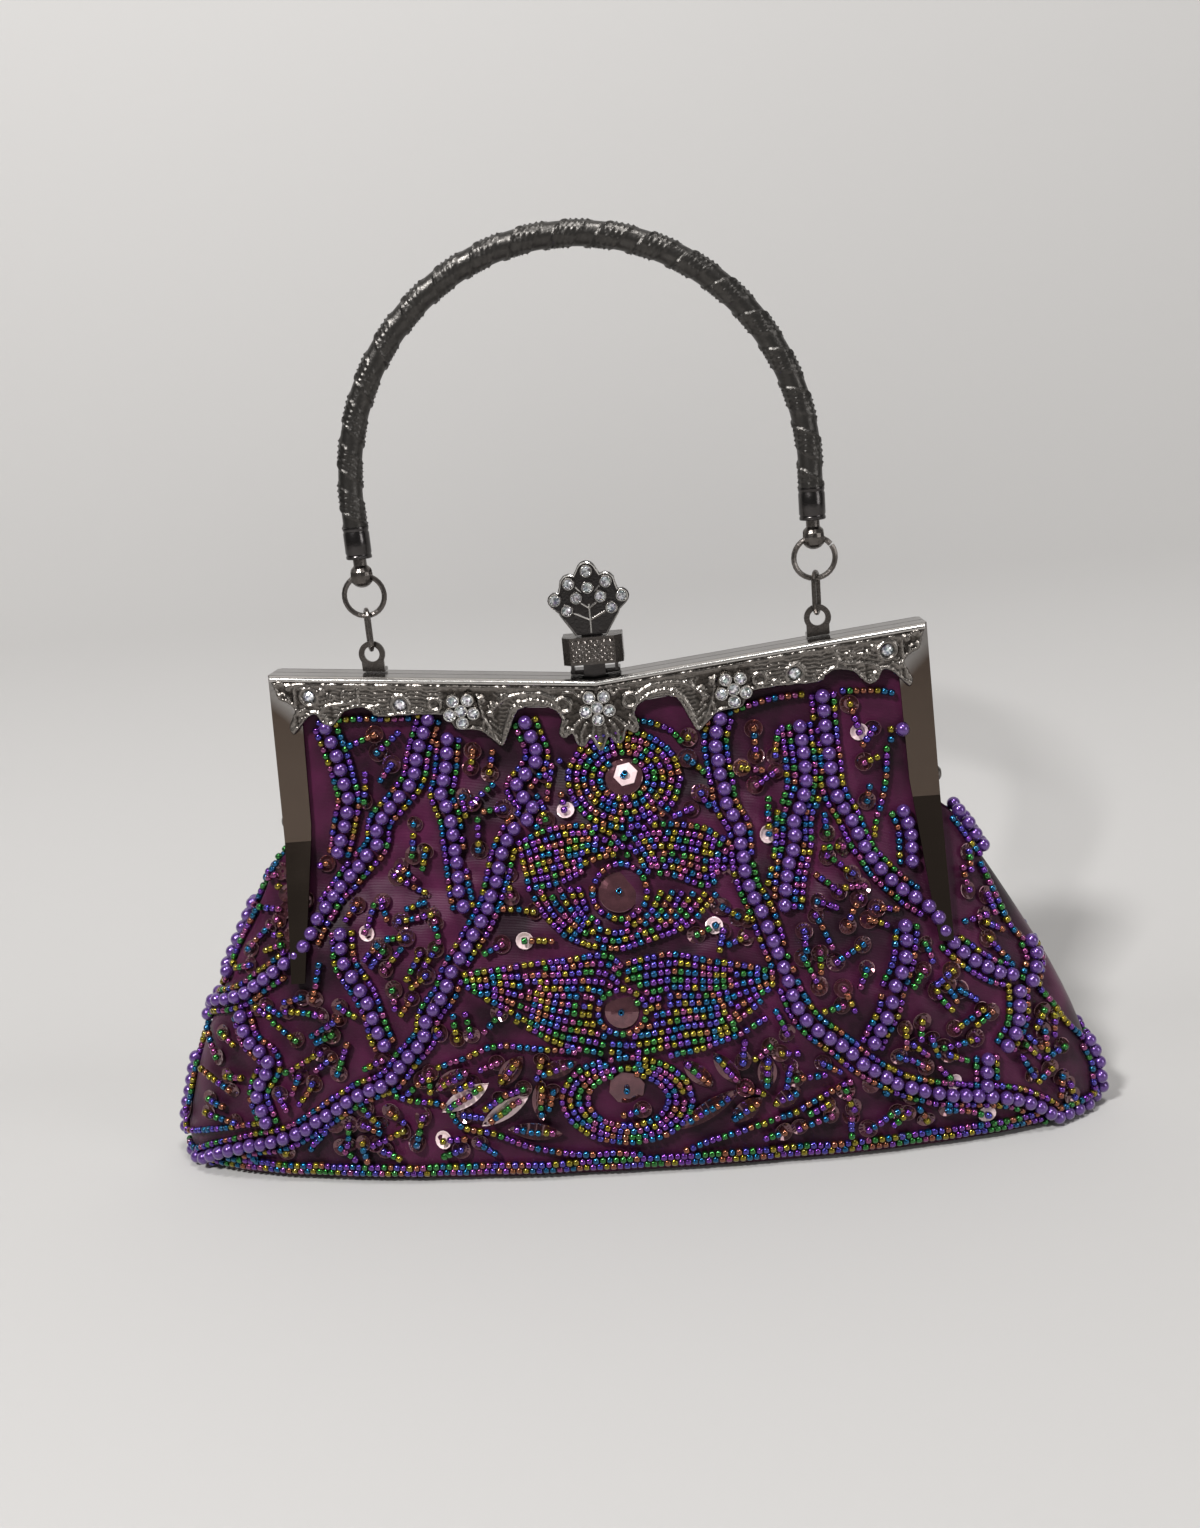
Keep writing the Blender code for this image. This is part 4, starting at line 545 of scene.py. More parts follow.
# Metals: two colours, roughness and its spread, grain, bump and its grain
METALS = {
    "pewter_cast": ((0.30, 0.276, 0.252), (0.17, 0.152, 0.138), 0.27, 0.09, 900, 0.30, 2600),
    "pewter_bright": ((0.62, 0.60, 0.57), (0.42, 0.40, 0.38), 0.22, 0.08, 500, 0.15, 2200),
    "gunmetal": ((0.40, 0.385, 0.37), (0.24, 0.222, 0.212), 0.15, 0.08, 90, 0.12, 1400),
    "dark_metal": ((0.085, 0.080, 0.080), (0.045, 0.040, 0.038), 0.22, 0.09, 260, 0.20, 1800),
    "worn_dark_metal": ((0.17, 0.155, 0.145), (0.065, 0.055, 0.048), 0.27, 0.10, 420, 0.25, 1800),
    "rope_gunmetal": ((0.100, 0.094, 0.088), (0.034, 0.032, 0.030), 0.36, 0.10, 520, 0.50, 1600)}
# Colour of the painted shade in the cast ornament's hollows
HOLLOW_PAINTED_SHADE = (0.060, 0.052, 0.046)
# Crystal: its white and near-black colours, sharply mixed in facet-sized patches, are painted glints and
# painted dark reflections; the tints mixed in are painted fire
CRYSTAL = ("crystal", (0.95, 0.96, 1.00), (0.10, 0.11, 0.14), 0.06, 0.02, 1500, 0.75, 1.0)
CRYSTAL_GLINT_CONTRAST = 0.08
PAINTED_FIRE_GRAIN = 700
PAINTED_FIRE_SHARE = 0.22
CARD = ("card", (0.30, 0.27, 0.22), (0.24, 0.21, 0.17), 0.8, 0.1, 400, 0, 0, 0.3)
LEAST_ROUGHNESS = 0.02
DRIFT_DETAIL = 3
BUMP_DETAIL = 4
BUMP_DISTANCE = 0.0002
# Satin: name, two colours, roughness, sheen and specular level; on the outer satin the second, much
# darker colour is painted shade, laid in patches over the lit first one
SATIN = ("satin_plum", (0.066, 0.007, 0.036), (0.011, 0.001, 0.006), 0.37, 0.06, 0.18)
LINING_CLOTH = ("lining_plum", (0.040, 0.006, 0.030), (0.025, 0.004, 0.020), 0.60, 0.05, 0.15)
SATIN_SPREAD = 0.08
# Size and sharpness of the patches between the two cloth colours; on the outer satin these patches are
# painted shade
SATIN_GRAIN = 60
SATIN_SHADE_CONTRAST = 0.16
SATIN_THREADS = (("X", 1400), ("Z", 900))
THREAD_WAVE = 1.5
THREAD_BUMP = 0.25
THREAD_DISTANCE = 0.0001

# Angles in degrees from which an edge stays crisp, and from which it is softened
SOFT_EDGE = 60
RIM_EDGE = 50
CAST_EDGE = 45
TURNED_EDGE = 35
CAD_EDGE = 38
BEVEL_ANGLE = 40
BEVEL_STEPS = 2


def camera_axes():
    """Right, up and forward of the camera."""
    forward = Vector((math.sin(CAMERA_YAW) * math.cos(CAMERA_PITCH),
                      math.cos(CAMERA_YAW) * math.cos(CAMERA_PITCH), -math.sin(CAMERA_PITCH)))
    level = Vector((math.cos(CAMERA_YAW), -math.sin(CAMERA_YAW), 0))
    above = level.cross(forward)
    right = level * math.cos(CAMERA_ROLL) + above * math.sin(CAMERA_ROLL)
    up = -level * math.sin(CAMERA_ROLL) + above * math.cos(CAMERA_ROLL)
    return right, up, forward


def pixel_ray(px, py):
    """Direction from the camera through a pixel of the photograph."""
    right, up, forward = camera_axes()
    across = (px - PHOTO_WIDTH / 2) / FOCAL_PIXELS
    down = (py - PHOTO_HEIGHT / 2) / FOCAL_PIXELS
    return (forward + right * across - up * down).normalized()


def link_object(name, data):
    """A new object in the scene that shows the data."""
    obj = bpy.data.objects.new(name, data)
    bpy.context.scene.collection.objects.link(obj)
    return obj


def add_camera():
    """The camera that the photograph was taken with, as fitted."""
    right, up, forward = camera_axes()
    data = bpy.data.cameras.new("camera")
    data.sensor_width = SENSOR_HEIGHT_MM
    data.lens = FOCAL_PIXELS * SENSOR_HEIGHT_MM / PHOTO_HEIGHT
    data.clip_start = CAMERA_CLIP
    camera = link_object("camera", data)
    turn = Matrix((right, up, -forward)).transposed()
    camera.matrix_world = Matrix.Translation(CAMERA_PLACE) @ turn.to_4x4()
    bpy.context.scene.camera = camera


def add_surroundings():
    """A level world, soft lamps and a plain wall and floor that aren't part of the bag."""
    world = bpy.data.worlds.new("world")
    world.use_nodes = True
    background = world.node_tree.nodes["Background"]
    background.inputs["Color"].default_value = (*WORLD_COLOUR, 1)
    background.inputs["Strength"].default_value = WORLD_STRENGTH
    bpy.context.scene.world = world
    bpy.context.scene.view_settings.view_transform = "Standard"
    for name, place, size, power in LAMPS:
        data = bpy.data.lights.new(name, "AREA")
        data.shape = "RECTANGLE"
        data.size, data.size_y = size
        data.energy = power
        lamp = link_object(name, data)
        lamp.location = place
        aim = Vector((0, 0, SLIT_HEIGHT)) - Vector(place)
        lamp.rotation_euler = aim.to_track_quat("-Z", "Y").to_euler()
    add_backdrop()


def add_backdrop():
    """A floor that bends up into a wall; its other side lets the view through."""
    finish = Finish("backdrop")
    finish.feed(finish.shader, {"Base Color": (*WALL_COLOUR, 1), "Roughness": WALL_ROUGHNESS})
    either = finish.add("MixShader", {"Fac": finish.add("NewGeometry").outputs["Backfacing"],
                                      1: finish.shader.outputs["BSDF"],
                                      2: finish.add("BsdfTransparent").outputs["BSDF"]})
    finish.feed(finish.nodes["Material Output"], {"Surface": either.outputs["Shader"]})
    profile = [(BACKDROP_FRONT, FLOOR_HEIGHT)]
    for k in range(BACKDROP_STEPS + 1):
        angle = math.pi / 2 * k / BACKDROP_STEPS
        profile.append((WALL_PLACE - BACKDROP_BEND * (1 - math.sin(angle)),
                        FLOOR_HEIGHT + BACKDROP_BEND * (1 - math.cos(angle))))
    profile.append((WALL_PLACE, BACKDROP_TOP))
    verts = [(side * BACKDROP_HALF_WIDTH, y, z) for y, z in profile for side in (-1, 1)]
    add_mesh("backdrop", verts, grid_faces(len(profile), 2), finish)


# Materials

class Finish:
    """A material whose nodes are added, set and joined in one call each."""

    def __init__(self, name):
        self.material = bpy.data.materials.new(name)
        self.material.use_nodes = True
        self.nodes = self.material.node_tree.nodes
        self.shader = self.nodes["Principled BSDF"]

    def feed(self, node, inputs):
        """Sets inputs of a node, each to a value or to the output of another node."""
        for key, value in inputs.items():
            if isinstance(value, bpy.types.NodeSocket):
                self.material.node_tree.links.new(value, node.inputs[key])
            else:
                node.inputs[key].default_value = value

    def add(self, kind, inputs=None, **settings):
        """A new node of a kind, with its inputs and its own settings."""
        node = self.nodes.new("ShaderNode" + kind)
        for key, value in settings.items():
            setattr(node, key, value)
        self.feed(node, inputs or {})
        return node

    def noise(self, inputs, output="Fac"):
        """Noise that stays on the piece when it moves."""
        return self.add("TexNoise", {"Vector": self.place, **inputs}).outputs[output]

    def ramp(self, value, **ends):
        """A value carried from one range to another; ends are given as from_min and so on."""
        inputs = {key.replace("_", " ").title(): end for key, end in ends.items()}
        return self.add("MapRange", {"Value": value, **inputs}).outputs["Result"]

    def tint(self, factor, first, second):
        """Colours the finish with a blend of two colours or outputs."""
        self.colour = self.add("Mix", {"Factor": factor, "A": first, "B": second},
                               data_type="RGBA").outputs["Result"]
        self.feed(self.shader, {"Base Color": self.colour})

    def raise_by(self, height, strength, distance):
        """A bump from a height."""
        bump = self.add("Bump", {"Height": height, "Strength": strength, "Distance": distance})
        self.feed(self.shader, {"Normal": bump.outputs["Normal"]})


def make_finish(name, colour, second, roughness, spread, grain, metallic=0.0, coat=0.0, bump=0.0,
                bump_grain=900.0, sheen=0.0, specular=0.5, contrast=None):
    """A finish that drifts between two colours, with uneven gloss and a fine bump."""
    finish = Finish(name)
    finish.place = finish.add("TexCoord").outputs["Object"]
    drift = finish.noise({"Scale": grain, "Detail": DRIFT_DETAIL})
    share = drift
    if contrast:
        share = finish.ramp(drift, from_min=0.5 - contrast, from_max=0.5 + contrast)
    finish.tint(share, (*colour, 1), (*second, 1))
    gloss = finish.ramp(drift, to_min=max(roughness - spread, LEAST_ROUGHNESS),
                        to_max=roughness + spread)
    finish.feed(finish.shader, {"Metallic": metallic, "Coat Weight": coat, "Sheen Weight": sheen,
                                "Specular IOR Level": specular, "Roughness": gloss})
    if bump:
        fine = finish.noise({"Scale": bump_grain, "Detail": BUMP_DETAIL})
        finish.raise_by(fine, bump, BUMP_DISTANCE)
    return finish


def make_satin(name, colour, second, roughness, sheen, specular):
    """Satin: crossed threads, much finer along the bag than down it, over sharp patches of its two
    colours, which on the outer satin are painted light and painted shade.
    """
    finish = make_finish(name, colour, second, roughness, SATIN_SPREAD, SATIN_GRAIN, sheen=sheen,
                         specular=specular, contrast=SATIN_SHADE_CONTRAST)
    threads = [finish.add("TexWave", {"Vector": finish.place, "Scale": scale,
                                      "Distortion": THREAD_WAVE},
                          bands_direction=direction).outputs["Fac"]
               for direction, scale in SATIN_THREADS]
    both = finish.add("Math", dict(enumerate(threads)), operation="ADD")
    finish.raise_by(both.outputs["Value"], THREAD_BUMP, THREAD_DISTANCE)
    return finish


def make_metal(name):
    """A metal from the table."""
    colour, second, roughness, spread, grain, bump, bump_grain = METALS[name]
    return make_finish(name, colour, second, roughness, spread, grain, metallic=1.0, bump=bump,
                       bump_grain=bump_grain)


def make_frame_metal():
    """Polished gunmetal along the rail, tarnished down the arms."""
    finish = make_metal("gunmetal")
    split = finish.add("SeparateXYZ", {"Vector": finish.place}).outputs
    aside = finish.add("Math", {0: split["X"]}, operation="ABSOLUTE").outputs["Value"]
    level = finish.add("Math", {0: aside, 1: -TARNISH_SLOPE, 2: split["Z"]},
                       operation="MULTIPLY_ADD").outputs["Value"]
    fall = TARNISH_SLOPE * FRAME_HALF_WIDTH
    bare = finish.ramp(level, from_min=TARNISH_LOW - fall, from_max=TARNISH_HIGH - fall)
    finish.tint(bare, (*TARNISH, 1), finish.colour)
    return finish


def make_cast_metal():
    """Pewter that is polished on its high places, with painted shade darkening its hollows."""
    finish = make_metal("pewter_cast")
    # Painted shade: the hollows are tinted dark by the relief height that the mesh stores
    painted_shade_fade = finish.add("Attribute", attribute_name="painted_shade_fade").outputs["Fac"]
    finish.tint(painted_shade_fade, (*HOLLOW_PAINTED_SHADE, 1), finish.colour)
    return finish


def make_crystal():
    """Foiled glass: facets go sharply between a painted glint and a painted dark reflection, with faint
    painted fire in many hues that changes from facet to facet.
    """
    finish = make_finish(*CRYSTAL, contrast=CRYSTAL_GLINT_CONTRAST)
    painted_fire = finish.noise({"Scale": PAINTED_FIRE_GRAIN}, "Color")
    finish.tint(PAINTED_FIRE_SHARE, finish.colour, painted_fire)
    return finish


# Mesh helpers

def add_mesh(name, verts, faces, finish, smooth=True, sharp=None):
    """A mesh object with one finish; edges sharper than an angle in degrees stay crisp."""
    mesh = bpy.data.meshes.new(name)
    mesh.from_pydata([tuple(v) for v in verts], [], faces)
    mesh.materials.append(finish.material)
    if smooth:
        mesh.shade_smooth()
        if sharp:
            mesh.set_sharp_from_angle(angle=math.radians(sharp))
    return link_object(name, mesh)


def attach(obj, body, slot, *replaced):
    """The piece moves with a body and may stand in for plain solids."""
    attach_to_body(obj, body)
    if replaced:
        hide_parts(*replaced)


def grid_faces(rows, columns, ring=False):
    """Quads between rows of points; a ring's last column joins its first."""
    faces = []
    for j in range(rows - 1):
        for k in range(columns if ring else columns - 1):
            a, b = j * columns + k, j * columns + (k + 1) % columns
            faces.append((a, b, b + columns, a + columns))
    return faces


def wall_faces(rows, columns):
    """The same quads seen from their other side."""
    return [(a, d, c, b) for a, b, c, d in grid_faces(rows, columns)]


def flipped(faces):
    """The faces with their corners in the opposite order."""
    return [tuple(reversed(face)) for face in faces]


def end_caps(count, sides):
    """Faces that close the first and the last ring of a tube of so many points."""
    return [tuple(reversed(range(sides))), tuple(range(count - sides, count))]


def lathe(profile, sides, closed=False):
    """Points and faces of a profile of radius and height turned about the local Z axis."""
    verts = []
    for radius, height in profile:
        for k in range(sides):
            angle = 2 * math.pi * k / sides
            verts.append((radius * math.cos(angle), radius * math.sin(angle), height))
    faces = grid_faces(len(profile), sides, ring=True)
    return np.array(verts), faces + (end_caps(len(verts), sides) if closed else [])


def sweep(path, sides, radius_at):
    """Tube along a path in an upright plane; the radius depends on the step and the angle."""
    verts = []
    for i, place in enumerate(path):
        along = (path[min(i + 1, len(path) - 1)] - path[max(i - 1, 0)]).normalized()
        first = along.cross(Vector((0, 1, 0))).normalized()
        second = first.cross(along)
        for k in range(sides):
            angle = 2 * math.pi * k / sides
            radius = radius_at(i, angle)
            verts.append(place + first * radius * math.cos(angle)
                         + second * radius * math.sin(angle))
    return verts, grid_faces(len(path), sides, ring=True) + end_caps(len(verts), sides)


class Batch:
    """Many small shapes that become one mesh."""

    def __init__(self):
        self.verts = []
        self.faces = []
        self.count = 0

    def add(self, shape, place=(0, 0, 0), turn=None, scale=1.0):
        """Adds a shape, given as points and faces: scaled, turned and then moved."""
        verts = np.asarray([tuple(v) for v in shape[0]]) * scale
        if turn is not None:
            verts = verts @ np.array(turn).T
        self.verts.append(verts + np.array(place))
        self.faces += [tuple(i + self.count for i in face) for face in shape[1]]
        self.count += len(verts)

    def mirrored(self):
        """The same shapes on the other side of the parting plane."""
        other = Batch()
        other.verts = [v * np.array((1, -1, 1)) for v in self.verts]
        other.faces = flipped(self.faces)
        return other

    def build(self, name, finish, smooth=True, sharp=None):
        """The mesh object with all the shapes."""
        return add_mesh(name, np.concatenate(self.verts), self.faces, finish, smooth, sharp)


def axes_from(normal, along):
    """Turn that takes local Z to the normal and local X as near to along as it can."""
    z = Vector(normal).normalized()
    x = Vector(along) - z * z.dot(Vector(along))
    x = x.normalized() if x.length > TINY else z.orthogonal().normalized()
    return Matrix((x, z.cross(x), z)).transposed()


def smooth_path(points, steps=CURVE_STEPS):
    """Catmull-Rom curve through 3-D or 2-D points."""
    points = [Vector(p) for p in points]
    if len(points) < 3:
        return [points[0].lerp(points[-1], k / steps) for k in range(steps + 1)]
    ends = [points[0] * 2 - points[1]] + points + [points[-1] * 2 - points[-2]]
    path = []
    for i in range(1, len(ends) - 2):
        a, b, c, d = ends[i - 1:i + 3]
        for k in range(steps):
            t = k / steps
            path.append(((b * 2) + (c - a) * t + (a * 2 - b * 5 + c * 4 - d) * t ** 2
                         + (b * 3 - a - c * 3 + d) * t ** 3) / 2)
    path.append(points[-1])
    return path


def spaced(path, pitch):
    """Places a pitch apart along a path, from end to end."""
    lengths = [0.0]
    for a, b in zip(path, path[1:]):
        lengths.append(lengths[-1] + (b - a).length)
    count = max(int(round(lengths[-1] / pitch)), 1)
    places = []
    i = 0
    for k in range(count + 1):
        goal = lengths[-1] * k / count
        while i < len(path) - 2 and lengths[i + 1] < goal:
            i += 1
        span = lengths[i + 1] - lengths[i]
        t = (goal - lengths[i]) / span if span > 0 else 0
        places.append(path[i].lerp(path[i + 1], min(max(t, 0), 1)))
    return places


# Satin body

def section_at(height):
    """Half width, half depth and oval share of the body at a height, on a smooth curve."""
    table = np.array(BODY_SECTIONS[::-1])
    z = table[:, 0]
    i = int(np.clip(np.searchsorted(z, height) - 1, 0, len(z) - 2))
    step = z[i + 1] - z[i]
    t = (height - z[i]) / step
    out = []
    for column in table[:, 1:].T:
        slopes = np.gradient(column, z)
        out.append((2 * t ** 3 - 3 * t ** 2 + 1) * column[i]
                   + (t ** 3 - 2 * t ** 2 + t) * step * slopes[i]
                   + (3 * t ** 2 - 2 * t ** 3) * column[i + 1]
                   + (t ** 3 - t ** 2) * step * slopes[i + 1])
    return out[0], out[1], min(max(out[2], 0), 1)


def body_depth(x, half_width, half_depth, oval):
    """Half depth at a place across: from a framed panel at the top to an oval below."""
    share = min(abs(x) / PANEL_LINE, 1)
    framed = CHANNEL_DEPTH + (half_depth - CHANNEL_DEPTH) * (1 - share ** 2) ** BULGE_POWER
    reach = min(abs(x) / half_width, 1)
    curved = half_depth * (1 - reach ** SECTION_POWER) ** (1 / SECTION_POWER)
    return (1 - oval) * framed + oval * curved


def pucker(x, z, side):
    """How far the satin dips at a place: soft puckers, and gathers that fade below the rail."""
    spot = Vector((x / PUCKER_LENGTH, z / PUCKER_LENGTH, side * PUCKER_SEED))
    dip = PUCKER_DEPTH * (noise.noise(spot) + noise.noise(spot * FINE_PUCKERS) / 2)
    fold = noise.noise(Vector((x / (PUCKER_LENGTH / 2), z / (PUCKER_LENGTH * FOLD_STRETCH),
                               side * FOLD_SEED)))
    hang = max(0.0, 1 - abs(z - SLIT_HEIGHT) / SLIT_HEIGHT)
    return dip + FOLD_DEPTH * fold * hang


def body_grid(side, inset, lift):
    """Points of the front or back half of the body, row by row from the mouth down."""
    rows = []
    for j in range(BODY_ROWS + 1):
        level = FLAP_TOP * (1 - j / BODY_ROWS)
        height = lift + level * (FLAP_TOP - lift) / FLAP_TOP
        half_width, half_depth, oval = section_at(level)
        half_width -= inset
        dip = max(0.0, (level - SLIT_HEIGHT) / (FLAP_TOP - SLIT_HEIGHT))
        loose = max(0.0, min(1.0, (FLAP_TOP - level) / (FLAP_TOP - SLIT_HEIGHT)))
        row = []
        for i in range(BODY_COLUMNS + 1):
            x = half_width * math.sin(math.pi / 2 * (2 * i / BODY_COLUMNS - 1))
            depth = body_depth(x, half_width, half_depth, oval)
            edge = (1 - (abs(x) / half_width) ** EDGE_POWER) * min(level / PUCKER_LENGTH, 1)
            depth -= inset * (1 - (abs(x) / half_width) ** INSET_POWER)
            depth -= (pucker(x, level, side) + FOLD_DEPTH / 2) * edge * loose
            z = height + dip * RAIL_DIP * min(abs(x) / FRAME_HALF_WIDTH, 1)
            row.append(Vector((x, side * max(depth, 0.0), z)))
        rows.append(row)
    return rows


def skin(rows, thickness, side, floor):
    """A wall on a grid of points and flat across its floor, joined along every edge."""
    columns, count = len(rows[0]), len(rows)
    outer = [v for row in rows for v in row]
    faces = wall_faces(count + 1, columns)
    normals = [Vector() for _ in outer]
    for face in faces[:(count - 1) * (columns - 1)]:
        a, b, c, d = [outer[k] for k in face]
        for k in face:
            normals[k] += (c - a).cross(d - b)
    inner = []
    for v, n in zip(outer, normals):
        v = v + n.normalized() * thickness * side
        inner.append(Vector((v.x, 0 if v.y * side < 0 else v.y, max(v.z, floor + thickness))))
    flat = [Vector((v.x, 0, floor)) for v in rows[-1]]
    verts = outer + flat + inner + [v + Vector((0, 0, thickness)) for v in flat]
    shift = len(outer) + len(flat)
    faces += [tuple(k + shift for k in face) for face in flipped(faces)]
    faces += [(i, i + 1, i + 1 + shift, i + shift) for i in range(columns - 1)]
    for j in range(count - 1):
        a, b = j * columns, (j + 1) * columns
        faces.append((a, a + shift, b + shift, b))
        a, b = a + columns - 1, b + columns - 1
        faces.append((b, b + shift, a + shift, a))
    return verts, faces if side < 0 else flipped(faces)


def follow(obj, word):
    """A front piece stays fixed where it stands; a back piece stays with the back frame."""
    if word == "front":
        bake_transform(obj)
    else:
        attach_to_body(obj, "back_frame")


def make_body():
    """Satin and lining, front and back; returns the outer front surface for the beads."""
    satin, cloth = make_satin(*SATIN), make_satin(*LINING_CLOTH)
    for side, word in ((-1, "front"), (1, "back")):
        rows = body_grid(side, 0, 0)
        shell = add_mesh("satin_" + word, *skin(rows, SATIN_THICKNESS, side, 0), satin, sharp=SOFT_EDGE)
        inner = skin(body_grid(side, LINING_INSET, LINING_LIFT), LINING_THICKNESS, side, LINING_LIFT)
        lining = add_mesh("lining_" + word, *inner, cloth, sharp=SOFT_EDGE)
        follow(shell, word)
        follow(lining, word)
        if word == "front":
            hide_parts("bag_shell")
            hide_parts("lining")
            surface = BVHTree.FromPolygons([v for row in rows for v in row],
                                           wall_faces(BODY_ROWS + 1, BODY_COLUMNS + 1))
    return surface


# Beadwork

class Beadwork:
    """Places beads on the front of the bag so that no two sit in the same place."""

    def __init__(self, surface):
        self.surface = surface
        self.arms = BVHTree.FromObject(bpy.data.objects["front_jaw"],
                                       bpy.context.evaluated_depsgraph_get())
        self.taken = {}
        self.seeds = [row[0] for row in SEED_FINISHES]
        self.weights = [row[3] for row in SEED_FINISHES]
        self.batches = {name: Batch() for name in ("pearls", "cups", "bright", *self.seeds)}
        self.pearl_shape, self.seed_shape, self.cup_shape = pearl_shape(), seed_shape(), cup_shape()

    def land(self, pixel):
        """The place on the satin that a pixel of the photograph shows."""
        direction = pixel_ray(*pixel)
        hit = self.surface.ray_cast(CAMERA_PLACE, direction)[0]
        if hit is None:
            reach = -CAMERA_PLACE.y / direction.y
            hit = self.surface.find_nearest(CAMERA_PLACE + direction * reach)[0]
        return hit

    def settle(self, place):
        """Nearest place on the satin and the direction out of it."""
        near, normal = self.surface.find_nearest(place)[:2]
        return near, -normal if normal.y > 0 else normal

    def over_arm(self, place):
        """Whether a place beside the panel is too close to an arm of the front jaw."""
        return abs(place.x) >= ARM_INSIDE and self.arms.find_nearest(place)[3] < ARM_ROOM

    def cell(self, place):
        """The cell of the grid of taken places that a place lies in."""
        return tuple(int(math.floor(c / BEAD_CELL)) for c in place)

    def is_free(self, place, radius):
        """Whether every bead that is already there leaves a radius of room."""
        x, y, z = self.cell(place)
        return not any((other - place).length < (radius + other_radius)
                       for dx, dy, dz in product((-2, -1, 0, 1, 2), repeat=3)
                       for other, other_radius in self.taken.get((x + dx, y + dy, z + dz), ()))

    def take(self, place, radius):
        """Marks the room within a radius as taken."""
        self.taken.setdefault(self.cell(place), []).append((place, radius))

    def add_seed(self, place, along, lift=0.0, slack=LINE_SLACK):
        """A seed bead whose hole runs along a direction, where there is room for it."""
        near, normal = self.settle(place)
        centre = near + normal * (SEED_RADIUS + lift)
        centre.z = max(centre.z, SEED_RADIUS * SEED_SLACK)
        room = SEED_RADIUS * slack * SEED_ROOM_SHARE
        if self.over_arm(centre) or not self.is_free(centre, room):
            return
        self.take(centre, SEED_RADIUS * slack)
        along = along - normal * normal.dot(along)
        if along.length < TINY:
            along = normal.orthogonal()
        size = random.uniform(*SEED_SIZES)
        turn = axes_from(along, normal)
        tilt = Matrix.Rotation(random.uniform(-SEED_TILT, SEED_TILT), 3, "X")
        name = random.choices(self.seeds, self.weights)[0]
        self.batches[name].add(self.seed_shape, centre, turn @ tilt, size)

    def add_pearl(self, place):
        """A pearl that touches its neighbours on the string."""
        near, normal = self.settle(place)
        centre = near + normal * PEARL_RADIUS * PEARL_SEAT_SHARE
        centre.z = max(centre.z, PEARL_RADIUS * SEED_SLACK)
        if self.is_free(centre, PEARL_RADIUS * PEARL_ROOM_SHARE):
            self.take(centre, PEARL_RADIUS * TAKEN_SHARE)
            turn = Matrix.Rotation(random.uniform(0, PEARL_SPIN), 3, "Z")
            size = random.uniform(*PEARL_SIZES)
            self.batches["pearls"].add(self.pearl_shape, centre, turn, size)

    def add_string(self, pixels):
        """Pearls on a line; returns the line, for its flanks."""
        path = smooth_path([self.land(p) for p in pixels])
        for place in spaced(path, PEARL_PITCH):
            self.add_pearl(place)
        return path

    def add_flanks(self, path, gap):
        """A line of seeds on each side of a string of pearls."""
        for hand in (-1, 1):
            beside = []
            for i, place in enumerate(path):
                near, normal = self.settle(place)
                along = path[min(i + 1, len(path) - 1)] - path[max(i - 1, 0)]
                aside = normal.cross(along).normalized()
                spot, _ = self.settle(near + aside * hand * gap)
                if not beside or (spot - beside[-1]).length > FLANK_STEP:
                    beside.append(spot)
            if len(beside) > 1:
                self.add_path(beside)

    def add_path(self, path, slack=LINE_SLACK):
        """Seeds along a path on the satin."""
        places = spaced(path, SEED_PITCH)
        for i, place in enumerate(places):
            along = places[min(i + 1, len(places) - 1)] - places[max(i - 1, 0)]
            self.add_seed(place, along, slack=slack)

    def add_line(self, pixels, slack=LINE_SLACK):
        """Seeds along a curve through pixels of the photograph."""
        self.add_path(smooth_path([self.land(p) for p in pixels]), slack)

    def add_cup(self, batch, place, normal, along, sway=0.0):
        """A cup sequin that leans a little along its bar and, by its sway, across it."""
        lean = normal + along.normalized() * random.uniform(-CUP_LEAN, CUP_LEAN)
        if sway:
            lean = lean + normal.cross(along).normalized() * random.uniform(-sway, sway)
        self.batches[batch].add(self.cup_shape, place + normal * CUP_LIFT, axes_from(lean, along),
                                random.uniform(*CUP_SIZES))

    def add_bar(self, x1, y1, x2, y2, cups):
        """A few seeds in a row; cup sequins sit at its ends, painted pale as a painted highlight where 4
        is added.
        """
        first, last = self.land((x1, y1)), self.land((x2, y2))
        along = last - first
        if along.length < SEED_PITCH or self.over_arm(first) or self.over_arm(last):
            return
        for end, mark in ((first, cups & 1), (last, cups & 2)):
            if mark and end.z >= CUP_RADIUS:
                near, normal = self.settle(end)
                bright = cups & 4 and (mark == 2 or cups == 5)
                self.add_cup("bright" if bright else "cups", near, normal, along, sway=CUP_SWAY)
        count = max(int(round(along.length / SEED_PITCH)), 2)
        for k in range(count + 1):
            rise = END_LIFT if k in (0, count) else BAR_LIFT
            self.add_seed(first.lerp(last, k / count), along, rise, BAR_SLACK)

    def scatter_bars(self, count):
        """Bars with a cup at one end, wherever the satin is still bare."""
        for _ in range(count):
            x = random.uniform(-SCATTER_HALF_WIDTH, SCATTER_HALF_WIDTH)
            z = random.uniform(*SCATTER_HEIGHTS)
            near, normal = self.settle(Vector((x, -1, z)))
            near, normal = self.settle(Vector((x, near.y, z)))
            turn = random.uniform(0, math.pi)
            along = Vector((math.cos(turn), 0, math.sin(turn)))
            along = (along - normal * normal.dot(along)).normalized() * SCATTER_LENGTH
            places = [near + along * (k / 2 - 0.5) + normal * SEED_RADIUS for k in range(3)]
            if not self.over_arm(near) and all(self.is_free(p, SCATTER_ROOM) for p in places):
                self.add_cup("cups", near + along / 2, normal, along)
                for k in range(SCATTER_STEPS + 1):
                    spot = near + along * (k / SCATTER_STEPS - 0.5)
                    self.add_seed(spot, along, BAR_LIFT, BAR_SLACK)

